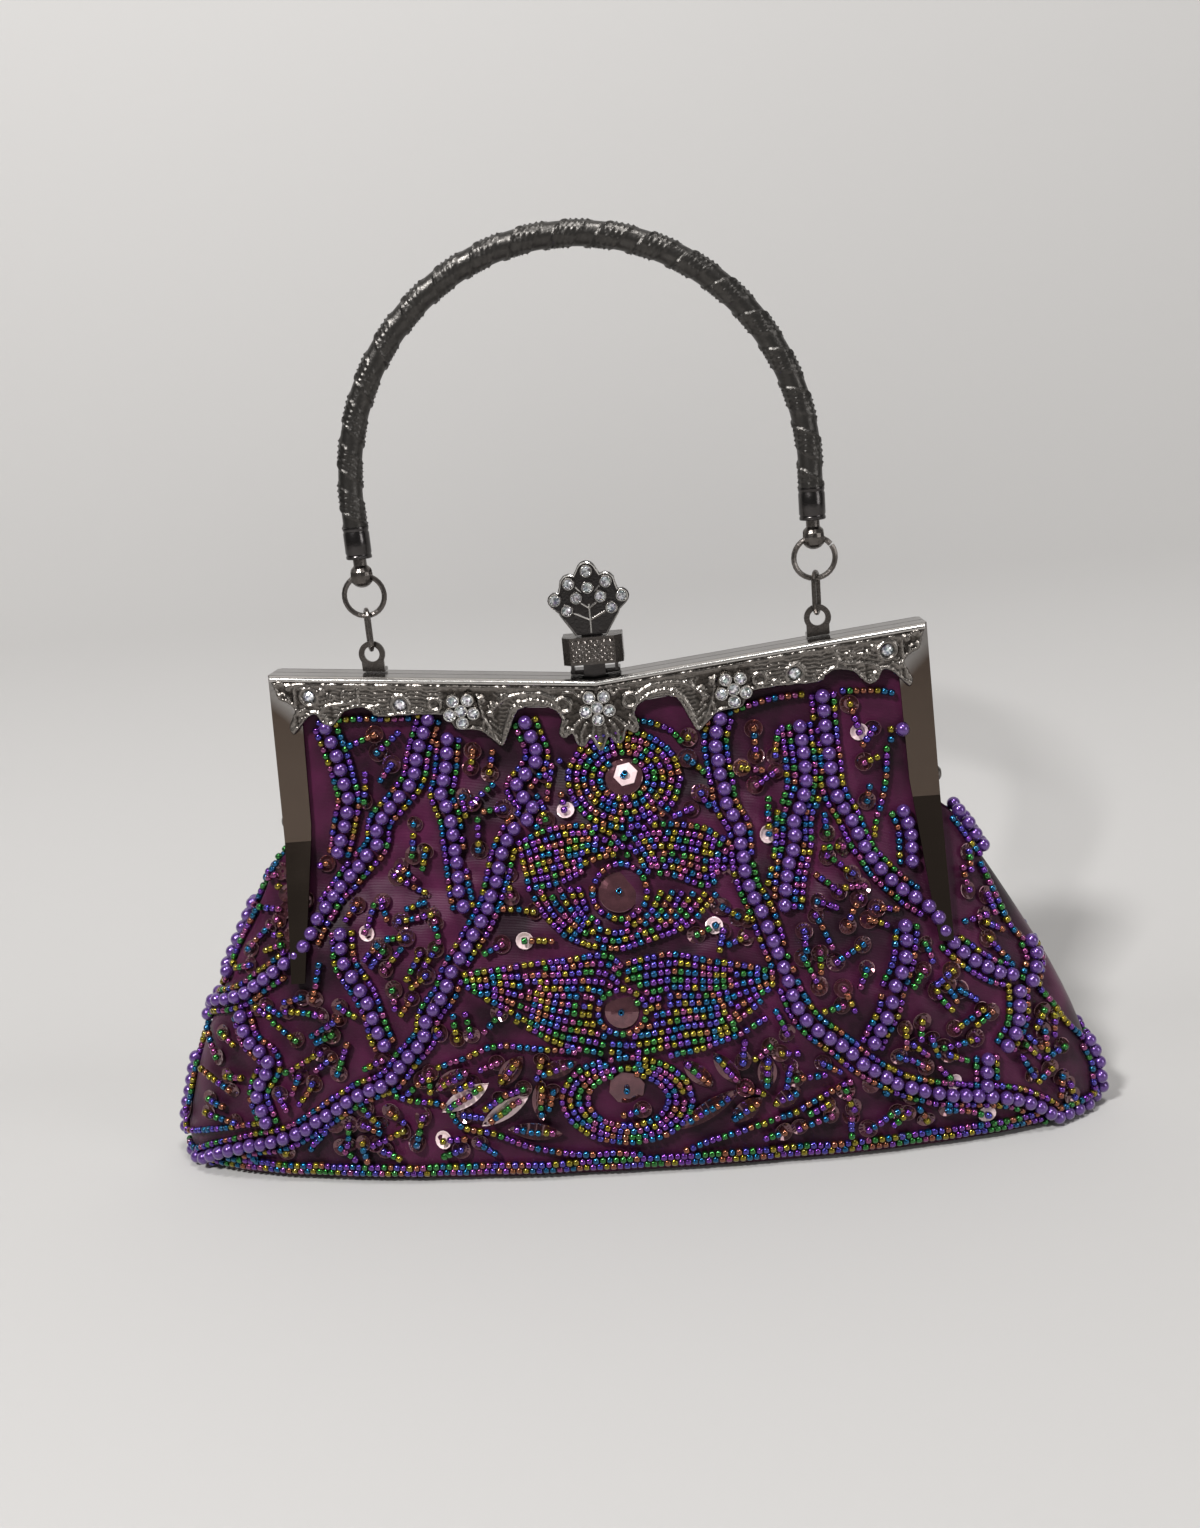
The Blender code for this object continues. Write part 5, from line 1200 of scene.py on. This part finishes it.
    def add_leaf(self, x1, y1, x2, y2, bright):
        """A leaf sequin held down by a few seeds."""
        first, last = self.land((x1, y1)), self.land((x2, y2))
        middle, normal = self.settle((first + last) / 2)
        along = last - first
        half = along.length / 2
        self.batches["bright" if bright else "cups"].add(
            leaf_shape(half), middle + normal * LEAF_LIFT, axes_from(normal, along))
        count = max(int(round(half * LEAF_SEEDS_SHARE / SEED_PITCH)), 2)
        for k in range(count + 1):
            place = middle + along * (k / count - 0.5) * LEAF_ROW_SHARE
            self.add_seed(place, along, LEAF_SEED_LIFT, LEAF_SLACK)

    def add_disc(self, pixel, radius, facets, bright):
        """A disc sequin with a seed in its middle."""
        near, normal = self.settle(self.land(pixel))
        rise = BRIGHT_DISC_LIFT if bright else DISC_LIFT
        turn = axes_from(normal, DISC_ALONG)
        self.batches["bright" if bright else "cups"].add(
            disc_shape(radius, facets), near + normal * rise, turn)
        self.take(near + normal * SEED_RADIUS, radius * TAKEN_SHARE)
        centre = near + normal * (rise + DISC_SEED_LIFT)
        self.batches["teal"].add(self.seed_shape, centre, turn, DISC_SEED_SIZE)

    def add_patch(self, first, second, rows):
        """Rows of seeds between two curves."""
        low, high = [spaced(path, sum((b - a).length for a, b in zip(path, path[1:])) / PATCH_STEPS)
                     for path in (smooth_path(first), smooth_path(second))]
        for r in range(rows):
            row = [a.lerp(b, r / (rows - 1)) for a, b in zip(low, high)]
            self.add_line(row[::2], slack=MOTIF_SLACK)

    def add_rings(self, centre, half, rings):
        """Rings of seeds, one inside the other."""
        for r in range(rings):
            share = 1 - r * RING_PIXELS / max(half)
            if share < LEAST_RING_SHARE:
                break
            angles = [2 * math.pi * k / RING_POINTS + r for k in range(RING_POINTS + 1)]
            self.add_line([(centre[0] + half[0] * share * math.cos(angle),
                            centre[1] + half[1] * share * math.sin(angle)) for angle in angles],
                          slack=MOTIF_SLACK)


def pearl_shape():
    """Ball with a small flat at each pole."""
    angles = [math.pi * k / PEARL_STEPS for k in range(PEARL_STEPS + 1)]
    profile = [(PEARL_RADIUS * math.sin(a), -PEARL_RADIUS * math.cos(a)) for a in angles]
    profile = [(PEARL_POLE, -PEARL_RADIUS), *profile[1:-1], (PEARL_POLE, PEARL_RADIUS)]
    return lathe(profile, PEARL_SIDES, closed=True)


def seed_shape():
    """Rounded bead, open at the ends of its hole."""
    profile = [(SEED_RADIUS * wide, SEED_LENGTH / 2 * high) for wide, high in SEED_SECTION]
    return lathe([(wide, -high) for wide, high in profile] + profile[::-1], SEED_SIDES)


def cup_shape():
    """Small dished sequin with a hole."""
    return lathe([(CUP_RADIUS * share, high) for share, high in CUP_SECTION], CUP_SIDES)


def disc_shape(radius, facets):
    """Low faceted sequin with a hole."""
    return lathe([(radius * share, high) for share, high in DISC_SECTION], facets)


def leaf_shape(half):
    """Pointed sequin, bowed across."""
    rows, columns = LEAF_ROWS, len(LEAF_BOW)
    verts = []
    for k in range(rows):
        t = -1 + 2 * k / (rows - 1)
        bow = math.cos(math.pi / 2 * t)
        wide = LEAF_HALF_WIDTH * bow ** LEAF_POWER if abs(t) < 1 else LEAF_TIP
        verts += [(half * t, wide * share, rise) for share, rise in LEAF_BOW]
    top = len(verts)
    verts += [(x, y, z - SEQUIN_THICKNESS) for x, y, z in verts]
    faces = wall_faces(rows, columns)
    faces += [tuple(k + top for k in face) for face in grid_faces(rows, columns)]
    for k in range(rows - 1):
        a, b = k * columns, (k + 1) * columns
        faces.append((a, a + top, b + top, b))
        faces.append((a + columns - 1, b + columns - 1, b + columns - 1 + top, a + columns - 1 + top))
    return np.array(verts), faces


def base_row(height):
    """A level line around the front of the base."""
    half_width, half_depth, oval = section_at(height)
    places = [half_width * math.sin(math.pi / 2 * (k / BASE_STEPS - 1)) * BASE_ROW_SHARE
              for k in range(2 * BASE_STEPS + 1)]
    return [Vector((x, -body_depth(x, half_width, half_depth, oval), height)) for x in places]


def make_beadwork(surface):
    """All the beads of the front, and the same ones mirrored on the back."""
    work = Beadwork(surface)
    for disc in DISCS:
        work.add_disc(*disc)
    paths = [work.add_string(pixels) for pixels in PEARL_LINES]
    for height in BASE_ROWS:
        work.add_path(base_row(height))
    for rings in MOTIF_RINGS:
        work.add_rings(*rings)
    for patch in MOTIF_PATCHES:
        work.add_patch(*patch)
    for path in paths:
        work.add_flanks(path, FLANK_GAP)
    for i in TWICE_FLANKED:
        work.add_flanks(paths[i], FLANK_GAP + SEED_PITCH)
    for pixels in SEED_LINES:
        work.add_line(pixels)
    for leaf in LEAVES:
        work.add_leaf(*leaf)
    for bar in BARS:
        work.add_bar(*bar)
    work.scatter_bars(SCATTER_TRIES)
    finishes = {name: make_finish(*values) for name, *values in TRIM_FINISHES}
    for name, colour, second, _ in SEED_FINISHES:
        finishes[name] = make_finish("seed_" + name, colour, second, *SEED_GLOSS)
    for name, batch in work.batches.items():
        for word, part in (("front", batch), ("back", batch.mirrored())):
            smooth = name not in ("cups", "bright")
            follow(part.build("beads_%s_%s" % (name, word), finishes[name], smooth), word)


# Metalwork

def rail_height(x):
    """Top of the rail, which dips in a shallow V."""
    return RAIL_LOW + RAIL_DIP * min(abs(x) / FRAME_HALF_WIDTH, 1)


def spiral_path(x, z, radius, start, turns):
    """Scroll that winds in to its middle; start is the angle of its outer end."""
    path = []
    for k in range(SCROLL_STEPS + 1):
        t = k / SCROLL_STEPS
        angle = start + 2 * math.pi * turns * t
        reach = radius * (1 - SCROLL_WIND * t)
        path.append((x + reach * math.cos(angle), z + reach * math.sin(angle)))
    return path


def line_distance(points, path):
    """Distance of each point from a line drawn through the path."""
    best = np.full(len(points), 1.0)
    for a, b in zip(path, path[1:]):
        a, b = np.array(a), np.array(b)
        along = b - a
        share = np.clip((points - a) @ along / max(along @ along, LEAST_SQUARE), 0, 1)
        best = np.minimum(best, np.linalg.norm(points - a - share[:, None] * along, axis=1))
    return best


def ornament_outline():
    """Edge of the ornament's right half, across and below the rail, and its curved part alone."""
    curve = smooth_path([(wide * ORNAMENT_HALF, deep * ORNAMENT_DROP)
                         for wide, deep in ORNAMENT_SHARES], OUTLINE_STEPS)
    corners = [curve[-1], Vector((ORNAMENT_HALF, RIM_HEIGHT / 2)), Vector((0, RIM_HEIGHT / 2)), curve[0]]
    spots = spaced(curve, RELIEF_PITCH)
    for a, b in zip(corners, corners[1:]):
        spots += spaced([a, b], RELIEF_PITCH)[1:]
    return spots[:-1], curve


def raised_lines():
    """Every scroll and vein of the relief, in millimetres across and below the rail."""
    lines = [(smooth_path(path, RIDGE_STEPS) if len(path) > 2 else path, width, rise)
             for path, width, rise in RIDGES]
    return lines + [(spiral_path(*coil), COIL_WIDTH, COIL_RISE) for coil in COILS]


def relief(points, curve):
    """Height of the casting over its plate, at places across and below the rail."""
    x, drop = points[:, 0], points[:, 1]
    height = np.zeros(len(points))
    for first, last, pitch, depth in HATCHES:
        inside = np.clip(np.minimum(x - first, last - x) / (2 * RELIEF_PITCH), 0, 1)
        wave = drop + sum(swing * np.sin(x / reach) for swing, reach in HATCH_WAVES)
        height += depth * inside * (0.5 + 0.5 * np.cos(2 * math.pi * wave / pitch))
    teeth = np.exp(-((x - TEETH_PLACE[0]) / TEETH_PLACE[1]) ** 4
                   - ((drop - TEETH_PLACE[2]) / TEETH_PLACE[3]) ** 4)
    slant = 2 * math.pi * (x + drop / TEETH_LEAN) / TEETH_PITCH
    height += TEETH_DEPTH * teeth * (0.5 + 0.5 * np.cos(slant))
    edge = line_distance(points, curve)
    height += EDGE_RISE * np.clip(1 - ((edge - EDGE_WIDTH) / EDGE_WIDTH) ** 2, 0, 1)
    for path, width, rise in raised_lines():
        away = line_distance(points, [(px * MM, pz * MM) for px, pz in path])
        bump = np.clip(1 - (away / (width * MM)) ** 2, 0, 1) ** 0.5
        height = np.maximum(height, SCROLL_SCALE * rise * MM * bump)
    for px, pz, radius in BOSSES:
        away = np.hypot(x - px * MM, drop - pz * MM)
        ring = np.clip(1 - ((away - radius * MM) / BOSS_WIRE) ** 2, 0, 1) ** 0.5
        height = np.where(away < radius * MM, BOSS_FLOOR, height)
        height = np.maximum(height, BOSS_RISE * ring)
    height += CAST_ROUGHNESS * np.array([noise.noise(Vector((px / CAST_GRAIN, pz / CAST_GRAIN, 0)))
                                         for px, pz in points])
    for px, pz in FLOWERS[1:]:
        away = np.hypot(x - px, drop - pz)
        height = np.where(away < FLOWER_RADIUS, np.minimum(height, FLOWER_BED), height)
    return height


def fill(outline, extra):
    """Flat triangles that fill an outline through extra points: places, faces, outline's places."""
    points = [Vector(p) / MM for p in (*outline, *extra)]
    ring = list(range(len(outline)))
    verts, _, faces, sources, _, _ = delaunay_2d_cdt(points, [], [ring], 1, MERGE_REACH)
    found = {source: k for k, group in enumerate(sources) for source in group}
    return np.array([(v.x, v.y) for v in verts]) * MM, faces, [found[k] for k in ring]


def make_ornament(side, word, metal):
    """Cast ornament: a relief on a fine outline, closed behind."""
    outline, curve = ornament_outline()
    grid = np.array([((i + 0.5 * (j % 2)) * RELIEF_PITCH, j * RELIEF_PITCH)
                     for j in range(1, int(ORNAMENT_DROP / RELIEF_PITCH))
                     for i in range(1, int(ORNAMENT_HALF / RELIEF_PITCH))])
    grid = grid[line_distance(grid, outline + outline[:1]) > RELIEF_PITCH / 2]
    flat, faces, ring = fill(outline, grid)
    back, back_faces, back_ring = fill(outline, [])
    rise = relief(flat, curve)
    rise[ring] = np.minimum(rise[ring], OUTLINE_RISE)
    bm = bmesh.new()
    for hand in (1, -1):
        front = [bm.verts.new((hand * x, side * (ORNAMENT_FACE + h), rail_height(x) - d))
                 for (x, d), h in zip(flat, rise)]
        rear = [bm.verts.new((hand * x, side * ORNAMENT_BACK, rail_height(x) - d)) for x, d in back]
        for verts, corners in ((front, faces), (rear, back_faces)):
            for face in corners:
                bm.faces.new([verts[k] for k in face])
        for k, j in zip(range(len(ring)), (*range(1, len(ring)), 0)):
            corners = (front[ring[j]], front[ring[k]], rear[back_ring[k]], rear[back_ring[j]])
            if max(abs(v.co.x) for v in corners) > SEAM_REACH:
                bm.faces.new(corners)
    bmesh.ops.delete(bm, geom=[v for v in bm.verts if not v.link_faces], context="VERTS")
    seam = [v for v in bm.verts if abs(v.co.x) < SEAM_REACH]
    bmesh.ops.remove_doubles(bm, verts=seam, dist=2 * SEAM_REACH)
    bmesh.ops.recalc_face_normals(bm, faces=bm.faces)
    mesh = bpy.data.meshes.new("ornament_" + word)
    bm.to_mesh(mesh)
    bm.free()
    # Painted shade: each point's height over the plate sets how far the dark hollow colour fades to bare
    # pewter
    painted_shade_fade = mesh.attributes.new("painted_shade_fade", "FLOAT", "POINT")
    for v, item in zip(mesh.vertices, painted_shade_fade.data):
        item.value = min(max((abs(v.co.y) - ORNAMENT_FACE) / PAINTED_SHADE_FADE_HEIGHT, 0.0), 1.0)
    mesh.materials.append(metal.material)
    mesh.shade_smooth()
    attach(link_object("ornament_" + word, mesh), word + "_frame", "pewter", word + "_filigree")


def make_rim(side, word, metal):
    """Half-round rim along the rail, with a fine milled edge above."""
    count = int(2 * ORNAMENT_HALF / MILL_PITCH)
    radius = RIM_HEIGHT / 2
    verts = []
    for i in range(count + 1):
        x = -ORNAMENT_HALF + 2 * ORNAMENT_HALF * i / count
        for k in range(RIM_STEPS + 1):
            angle = math.pi * k / RIM_STEPS
            milled = MILL_DEPTH if i % 2 and 1 < k < RIM_STEPS / 2 else 0
            out = (RIM_DEPTH - milled) * math.sin(angle)
            verts.append((x, side * (ORNAMENT_BACK + out),
                          rail_height(x) - radius + (radius - milled) * math.cos(angle)))
    faces = grid_faces(count + 1, RIM_STEPS + 1, ring=True) + end_caps(len(verts), RIM_STEPS + 1)
    obj = add_mesh("rim_" + word, verts, faces if side > 0 else flipped(faces), metal, sharp=RIM_EDGE)
    attach(obj, word + "_frame", "pewter")


def stone_shape(radius):
    """Brilliant: a flat table, eight kites and sixteen small facets, closed behind."""
    verts = []
    for share, high, count, turn in STONE_LEVELS:
        for k in range(count):
            angle = 2 * math.pi * (k + turn) / count
            verts.append((radius * share * math.cos(angle), radius * share * math.sin(angle),
                          STONE_DEPTH * high))
    faces = [tuple(range(8))]
    for k in range(8):
        n = (k + 1) % 8
        low = 16 + 2 * k
        after = 16 + (2 * k + 2) % 16
        faces += [(k, 8 + k, 8 + n), (k, 8 + n, n), (8 + k, low, low + 1), (8 + k, low + 1, 8 + n),
                  (8 + n, low + 1, after)]
    for k in range(16):
        n = (k + 1) % 16
        faces.append((16 + k, 32 + k, 32 + n, 16 + n))
    faces.append(tuple(range(47, 31, -1)))
    return np.array(verts), faces


def collar_shape(radius, wire, height):
    """Round bezel with a floor, and a rolled lip that stands up round a stone."""
    profile = [(radius + wire * aside, height * share) for aside, share in COLLAR_SECTION]
    core = radius * COLLAR_CORE_SHARE
    return lathe([(core, 0.0), *profile, (core, height * COLLAR_FLOOR_SHARE)], COLLAR_SIDES,
                 closed=True)


def facing(side):
    """Turn that takes local Z out of the bag's front or back, and local Y upwards."""
    return Matrix(((-side, 0, 0), (0, 0, side), (0, 1, 0)))


def set_stone(mounts, stones, place, side, setting, lift=0.0, spin=0.0):
    """A brilliant in a collar, with claws over its edge."""
    radius, wire, collar, claws = setting
    x, out, z = place
    turn = facing(side)
    mounts.add(collar_shape(radius, wire, collar + lift), (x, side * out, z), turn)
    stones.add(stone_shape(radius), (x, side * (out + collar * STONE_SEAT_SHARE + lift), z),
               turn @ Matrix.Rotation(spin, 3, "Z"))
    claw = lathe(CLAW_PROFILE, CLAW_SIDES, closed=True)
    for k in range(claws):
        angle = 2 * math.pi * (k + 0.5) / claws
        mounts.add(claw, (x + radius * math.cos(angle), side * (out + collar + lift),
                          z + radius * math.sin(angle)), turn)


def make_flowers(side, word, metal, crystal):
    """Three flowers of six stones each, and the single stones on the ornament."""
    body = word + "_frame"
    for name, (px, drop) in zip(("left", "centre", "right"), FLOWERS):
        mounts, stones = Batch(), Batch()
        height = rail_height(px) - drop
        angles = [-math.pi / 2 + 2 * math.pi * k / PETALS for k in range(PETALS)]
        petals = [(px + FLOWER_STONE_PLACE * math.cos(angle),
                   height + FLOWER_STONE_PLACE * math.sin(angle)) for angle in angles]
        for i, (x, z) in enumerate([(px, height)] + petals):
            set_stone(mounts, stones, (x, ORNAMENT_BACK + FLOWER_SEAT, z), side, FLOWER_SETTING,
                      0 if i else FLOWER_CENTRE_LIFT, i * FLOWER_SPIN)
        cast = mounts.build("flower_%s_%s" % (word, name), metal, sharp=CAST_EDGE)
        gems = stones.build("flower_stones_%s_%s" % (word, name), crystal, smooth=False)
        attach(cast, body, "pewter", "%s_flower_%s" % (word, name))
        attach(gems, body, "crystal")
    singles = Batch()
    for hand in (-1, 1):
        for px, pz, radius in BOSSES:
            if radius >= BOSS_STONE_FROM:
                x = hand * px * MM
                singles.add(stone_shape(BOSS_STONE_RADIUS),
                            (x, side * (ORNAMENT_FACE + BOSS_FLOOR), rail_height(x) - pz * MM),
                            facing(side))
    attach(singles.build("ornament_stones_" + word, crystal, smooth=False), body, "crystal")


def fan_edge(low, y):
    """Line just inside the fan's outline, from one side of its neck to the other."""
    right = [(FAN_NECK, 0.0)]
    for wide, high, radius, first, last in FAN_LOBES:
        for k in range(LOBE_STEPS + 1):
            angle = math.radians(first + (last - first) * k / LOBE_STEPS)
            right.append((wide * FAN_HALF_WIDTH * LOBE_SHARE + radius * FAN_HEIGHT * math.cos(angle),
                          high * FAN_HEIGHT + radius * FAN_HEIGHT * math.sin(angle)))
    right = [(x, z) for x, z in right if x > CLASP_LINE_RADIUS] + [(0, FAN_HEIGHT)]
    both = right + [(-x, z) for x, z in reversed(right[:-1])]
    path = [Vector((x * FAN_INSET, y, low + z * FAN_INSET)) for x, z in both]
    return spaced(path, CLASP_LINE_RADIUS * 2)


def make_clasp(metal, crystal):
    """On the fan: a raised outline, veins, and collars with brilliants in them."""
    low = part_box("clasp_block")[1].z + CLASP_GAP
    y = -FAN_FRONT - CLASP_LINE_OUT
    lines, collars, gems = Batch(), Batch(), Batch()
    nodes = ["clasp_stone_%02d" % (i + 1) for i in range(CLASP_STONES)]
    for i, node in enumerate(nodes):
        first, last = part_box(node)
        centre = (first + last) / 2
        set_stone(collars, gems, (centre.x, FAN_FRONT + CLASP_COLLAR_SEAT, centre.z), -1,
                  CLASP_SETTING, spin=i * CLASP_SPIN)
    paths = [fan_edge(low, y)]
    for ends in FAN_VEINS:
        a, b = [Vector((wide * FAN_HALF_WIDTH, y, low + high * FAN_HEIGHT)) for wide, high in ends]
        paths.append([a.lerp(b, k / VEIN_STEPS) for k in range(VEIN_STEPS + 1)])
    for path in paths:
        lines.add(sweep(path, CLASP_LINE_SIDES, lambda i, angle: CLASP_LINE_RADIUS))
    attach(lines.build("clasp_lines", metal, sharp=CAST_EDGE), "clasp", "pewter")
    attach(collars.build("clasp_collars", metal, sharp=CAST_EDGE), "clasp", "pewter")
    attach(gems.build("clasp_gems", crystal, smooth=False), "clasp", "crystal", *nodes)


def make_knurl(metal):
    """Crossed diagonal ridges on the front and back of the clasp's block."""
    low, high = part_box("clasp_block")
    panel = Batch()
    across, rows = KNURL_COLUMNS + 1, KNURL_ROWS + 1
    border = [*range(across), *range(2 * across - 1, rows * across, across)]
    border += [*range(rows * across - 2, (rows - 1) * across - 1, -1),
               *range((rows - 2) * across, 0, -across)]
    for side, face in ((-1, low.y), (1, high.y)):
        verts = []
        for j in range(rows):
            for i in range(across):
                x = KNURL_HALF_WIDTH * (2 * i / KNURL_COLUMNS - 1)
                z = low.z + KNURL_MARGIN + (high.z - low.z - 2 * KNURL_MARGIN) * j / KNURL_ROWS
                first = abs(math.sin(math.pi * (x + z) / KNURL_PITCH))
                second = abs(math.sin(math.pi * (x - z) / KNURL_PITCH))
                edge = i in (0, KNURL_COLUMNS) or j in (0, KNURL_ROWS)
                rise = -KNURL_SINK if edge else KNURL_RISE * min(first, second)
                verts.append((x, face + side * rise, z))
        faces = grid_faces(rows, across) + [tuple(reversed(border))]
        panel.add((verts, faces if side < 0 else flipped(faces)))
    attach(panel.build("clasp_knurl", metal, sharp=TURNED_EDGE), "clasp", "dark_metal")


def grip_pattern(distance, angle):
    """Embossing on the rope: turns of dots between smooth turns, with a raised line between."""
    turn = (distance / WRAP_PITCH - angle / (2 * math.pi)) % 1.0
    if turn < WRAP_DOTS:
        rows = math.cos(2 * math.pi * turn / WRAP_DOTS * DOT_ROWS)
        dots = math.cos(angle * DOTS_AROUND + 2 * math.pi * turn)
        return 1 + DOT_RISE * max(0.0, -rows) * max(0.0, dots)
    return 1 + LINE_RISE if turn < WRAP_DOTS + WRAP_LINE else 1 - GROOVE_SHARE


def make_grip(metal):
    """The rope handle, embossed all the way round."""
    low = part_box("ferrule_left")[1].z - GRIP_SINK
    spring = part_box("ferrule_left")[0].z + HANDLE_LEG
    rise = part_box("handle_grip")[1].z - ROPE_RADIUS - spring
    angles = [math.pi * k / ARCH_STEPS for k in range(1, ARCH_STEPS)]
    places = [(HANDLE_HALF, low), (HANDLE_HALF, spring)]
    places += [(HANDLE_HALF * math.cos(a), spring + rise * math.sin(a)) for a in angles]
    places += [(-HANDLE_HALF, spring), (-HANDLE_HALF, low)]
    path = spaced([Vector((x, HANDLE_PLANE, z)) for x, z in places], GRIP_STEP)
    step = (path[1] - path[0]).length
    ends = (0, len(path) - 1)
    tube = sweep(path, GRIP_SIDES, lambda i, angle: ROPE_RADIUS * (GRIP_TAPER if i in ends else 1)
                 * grip_pattern(i * step, angle))
    attach(add_mesh("grip", *tube, metal, sharp=SOFT_EDGE), "handle", "rope", "handle_grip")


def make_ferrules(metal):
    """Turned ferrules with rolled edges and two fine grooves."""
    for word in ("left", "right"):
        low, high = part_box("ferrule_" + word)
        radius = (high.x - low.x) / 2
        verts, faces = lathe([(radius * wide, share * (high.z - low.z))
                              for wide, share in FERRULE_PROFILE], FERRULE_SIDES)
        verts = verts + np.array((*((low + high) / 2).xy, low.z))
        obj = add_mesh("ferrule_turned_" + word, verts, faces, metal, sharp=TURNED_EDGE)
        attach(obj, "handle", "dark_metal", "ferrule_" + word)


def finish_cad(finishes):
    """Softened edges and real finishes for the pieces that stay as they came."""
    for name, nodes, bevel in CAD_FINISHES:
        for node in nodes:
            obj = bpy.data.objects[node]
            obj.data.materials.clear()
            obj.data.materials.append(finishes[name].material)
            if bevel:
                soft = obj.modifiers.new("soft_edges", "BEVEL")
                soft.width = bevel
                soft.segments = BEVEL_STEPS
                soft.limit_method = "ANGLE"
                soft.angle_limit = math.radians(BEVEL_ANGLE)
            obj.data.shade_smooth()
            obj.data.set_sharp_from_angle(angle=math.radians(CAD_EDGE))


def make_metalwork():
    """The frame's castings and stones, the clasp, the handle, and finishes for the rest."""
    pewter, gunmetal, crystal = make_cast_metal(), make_frame_metal(), make_crystal()
    bright, dark, worn, rope = [make_metal(name) for name in (
        "pewter_bright", "dark_metal", "worn_dark_metal", "rope_gunmetal")]
    card = make_finish(*CARD)
    for side, word in ((-1, "front"), (1, "back")):
        make_ornament(side, word, pewter)
        make_rim(side, word, bright)
        make_flowers(side, word, bright, crystal)
    make_clasp(bright, crystal)
    make_knurl(worn)
    make_grip(rope)
    make_ferrules(dark)
    finish_cad({"gunmetal": gunmetal, "dark": dark, "worn": worn, "card": card})


add_camera()
add_surroundings()
make_beadwork(make_body())
make_metalwork()
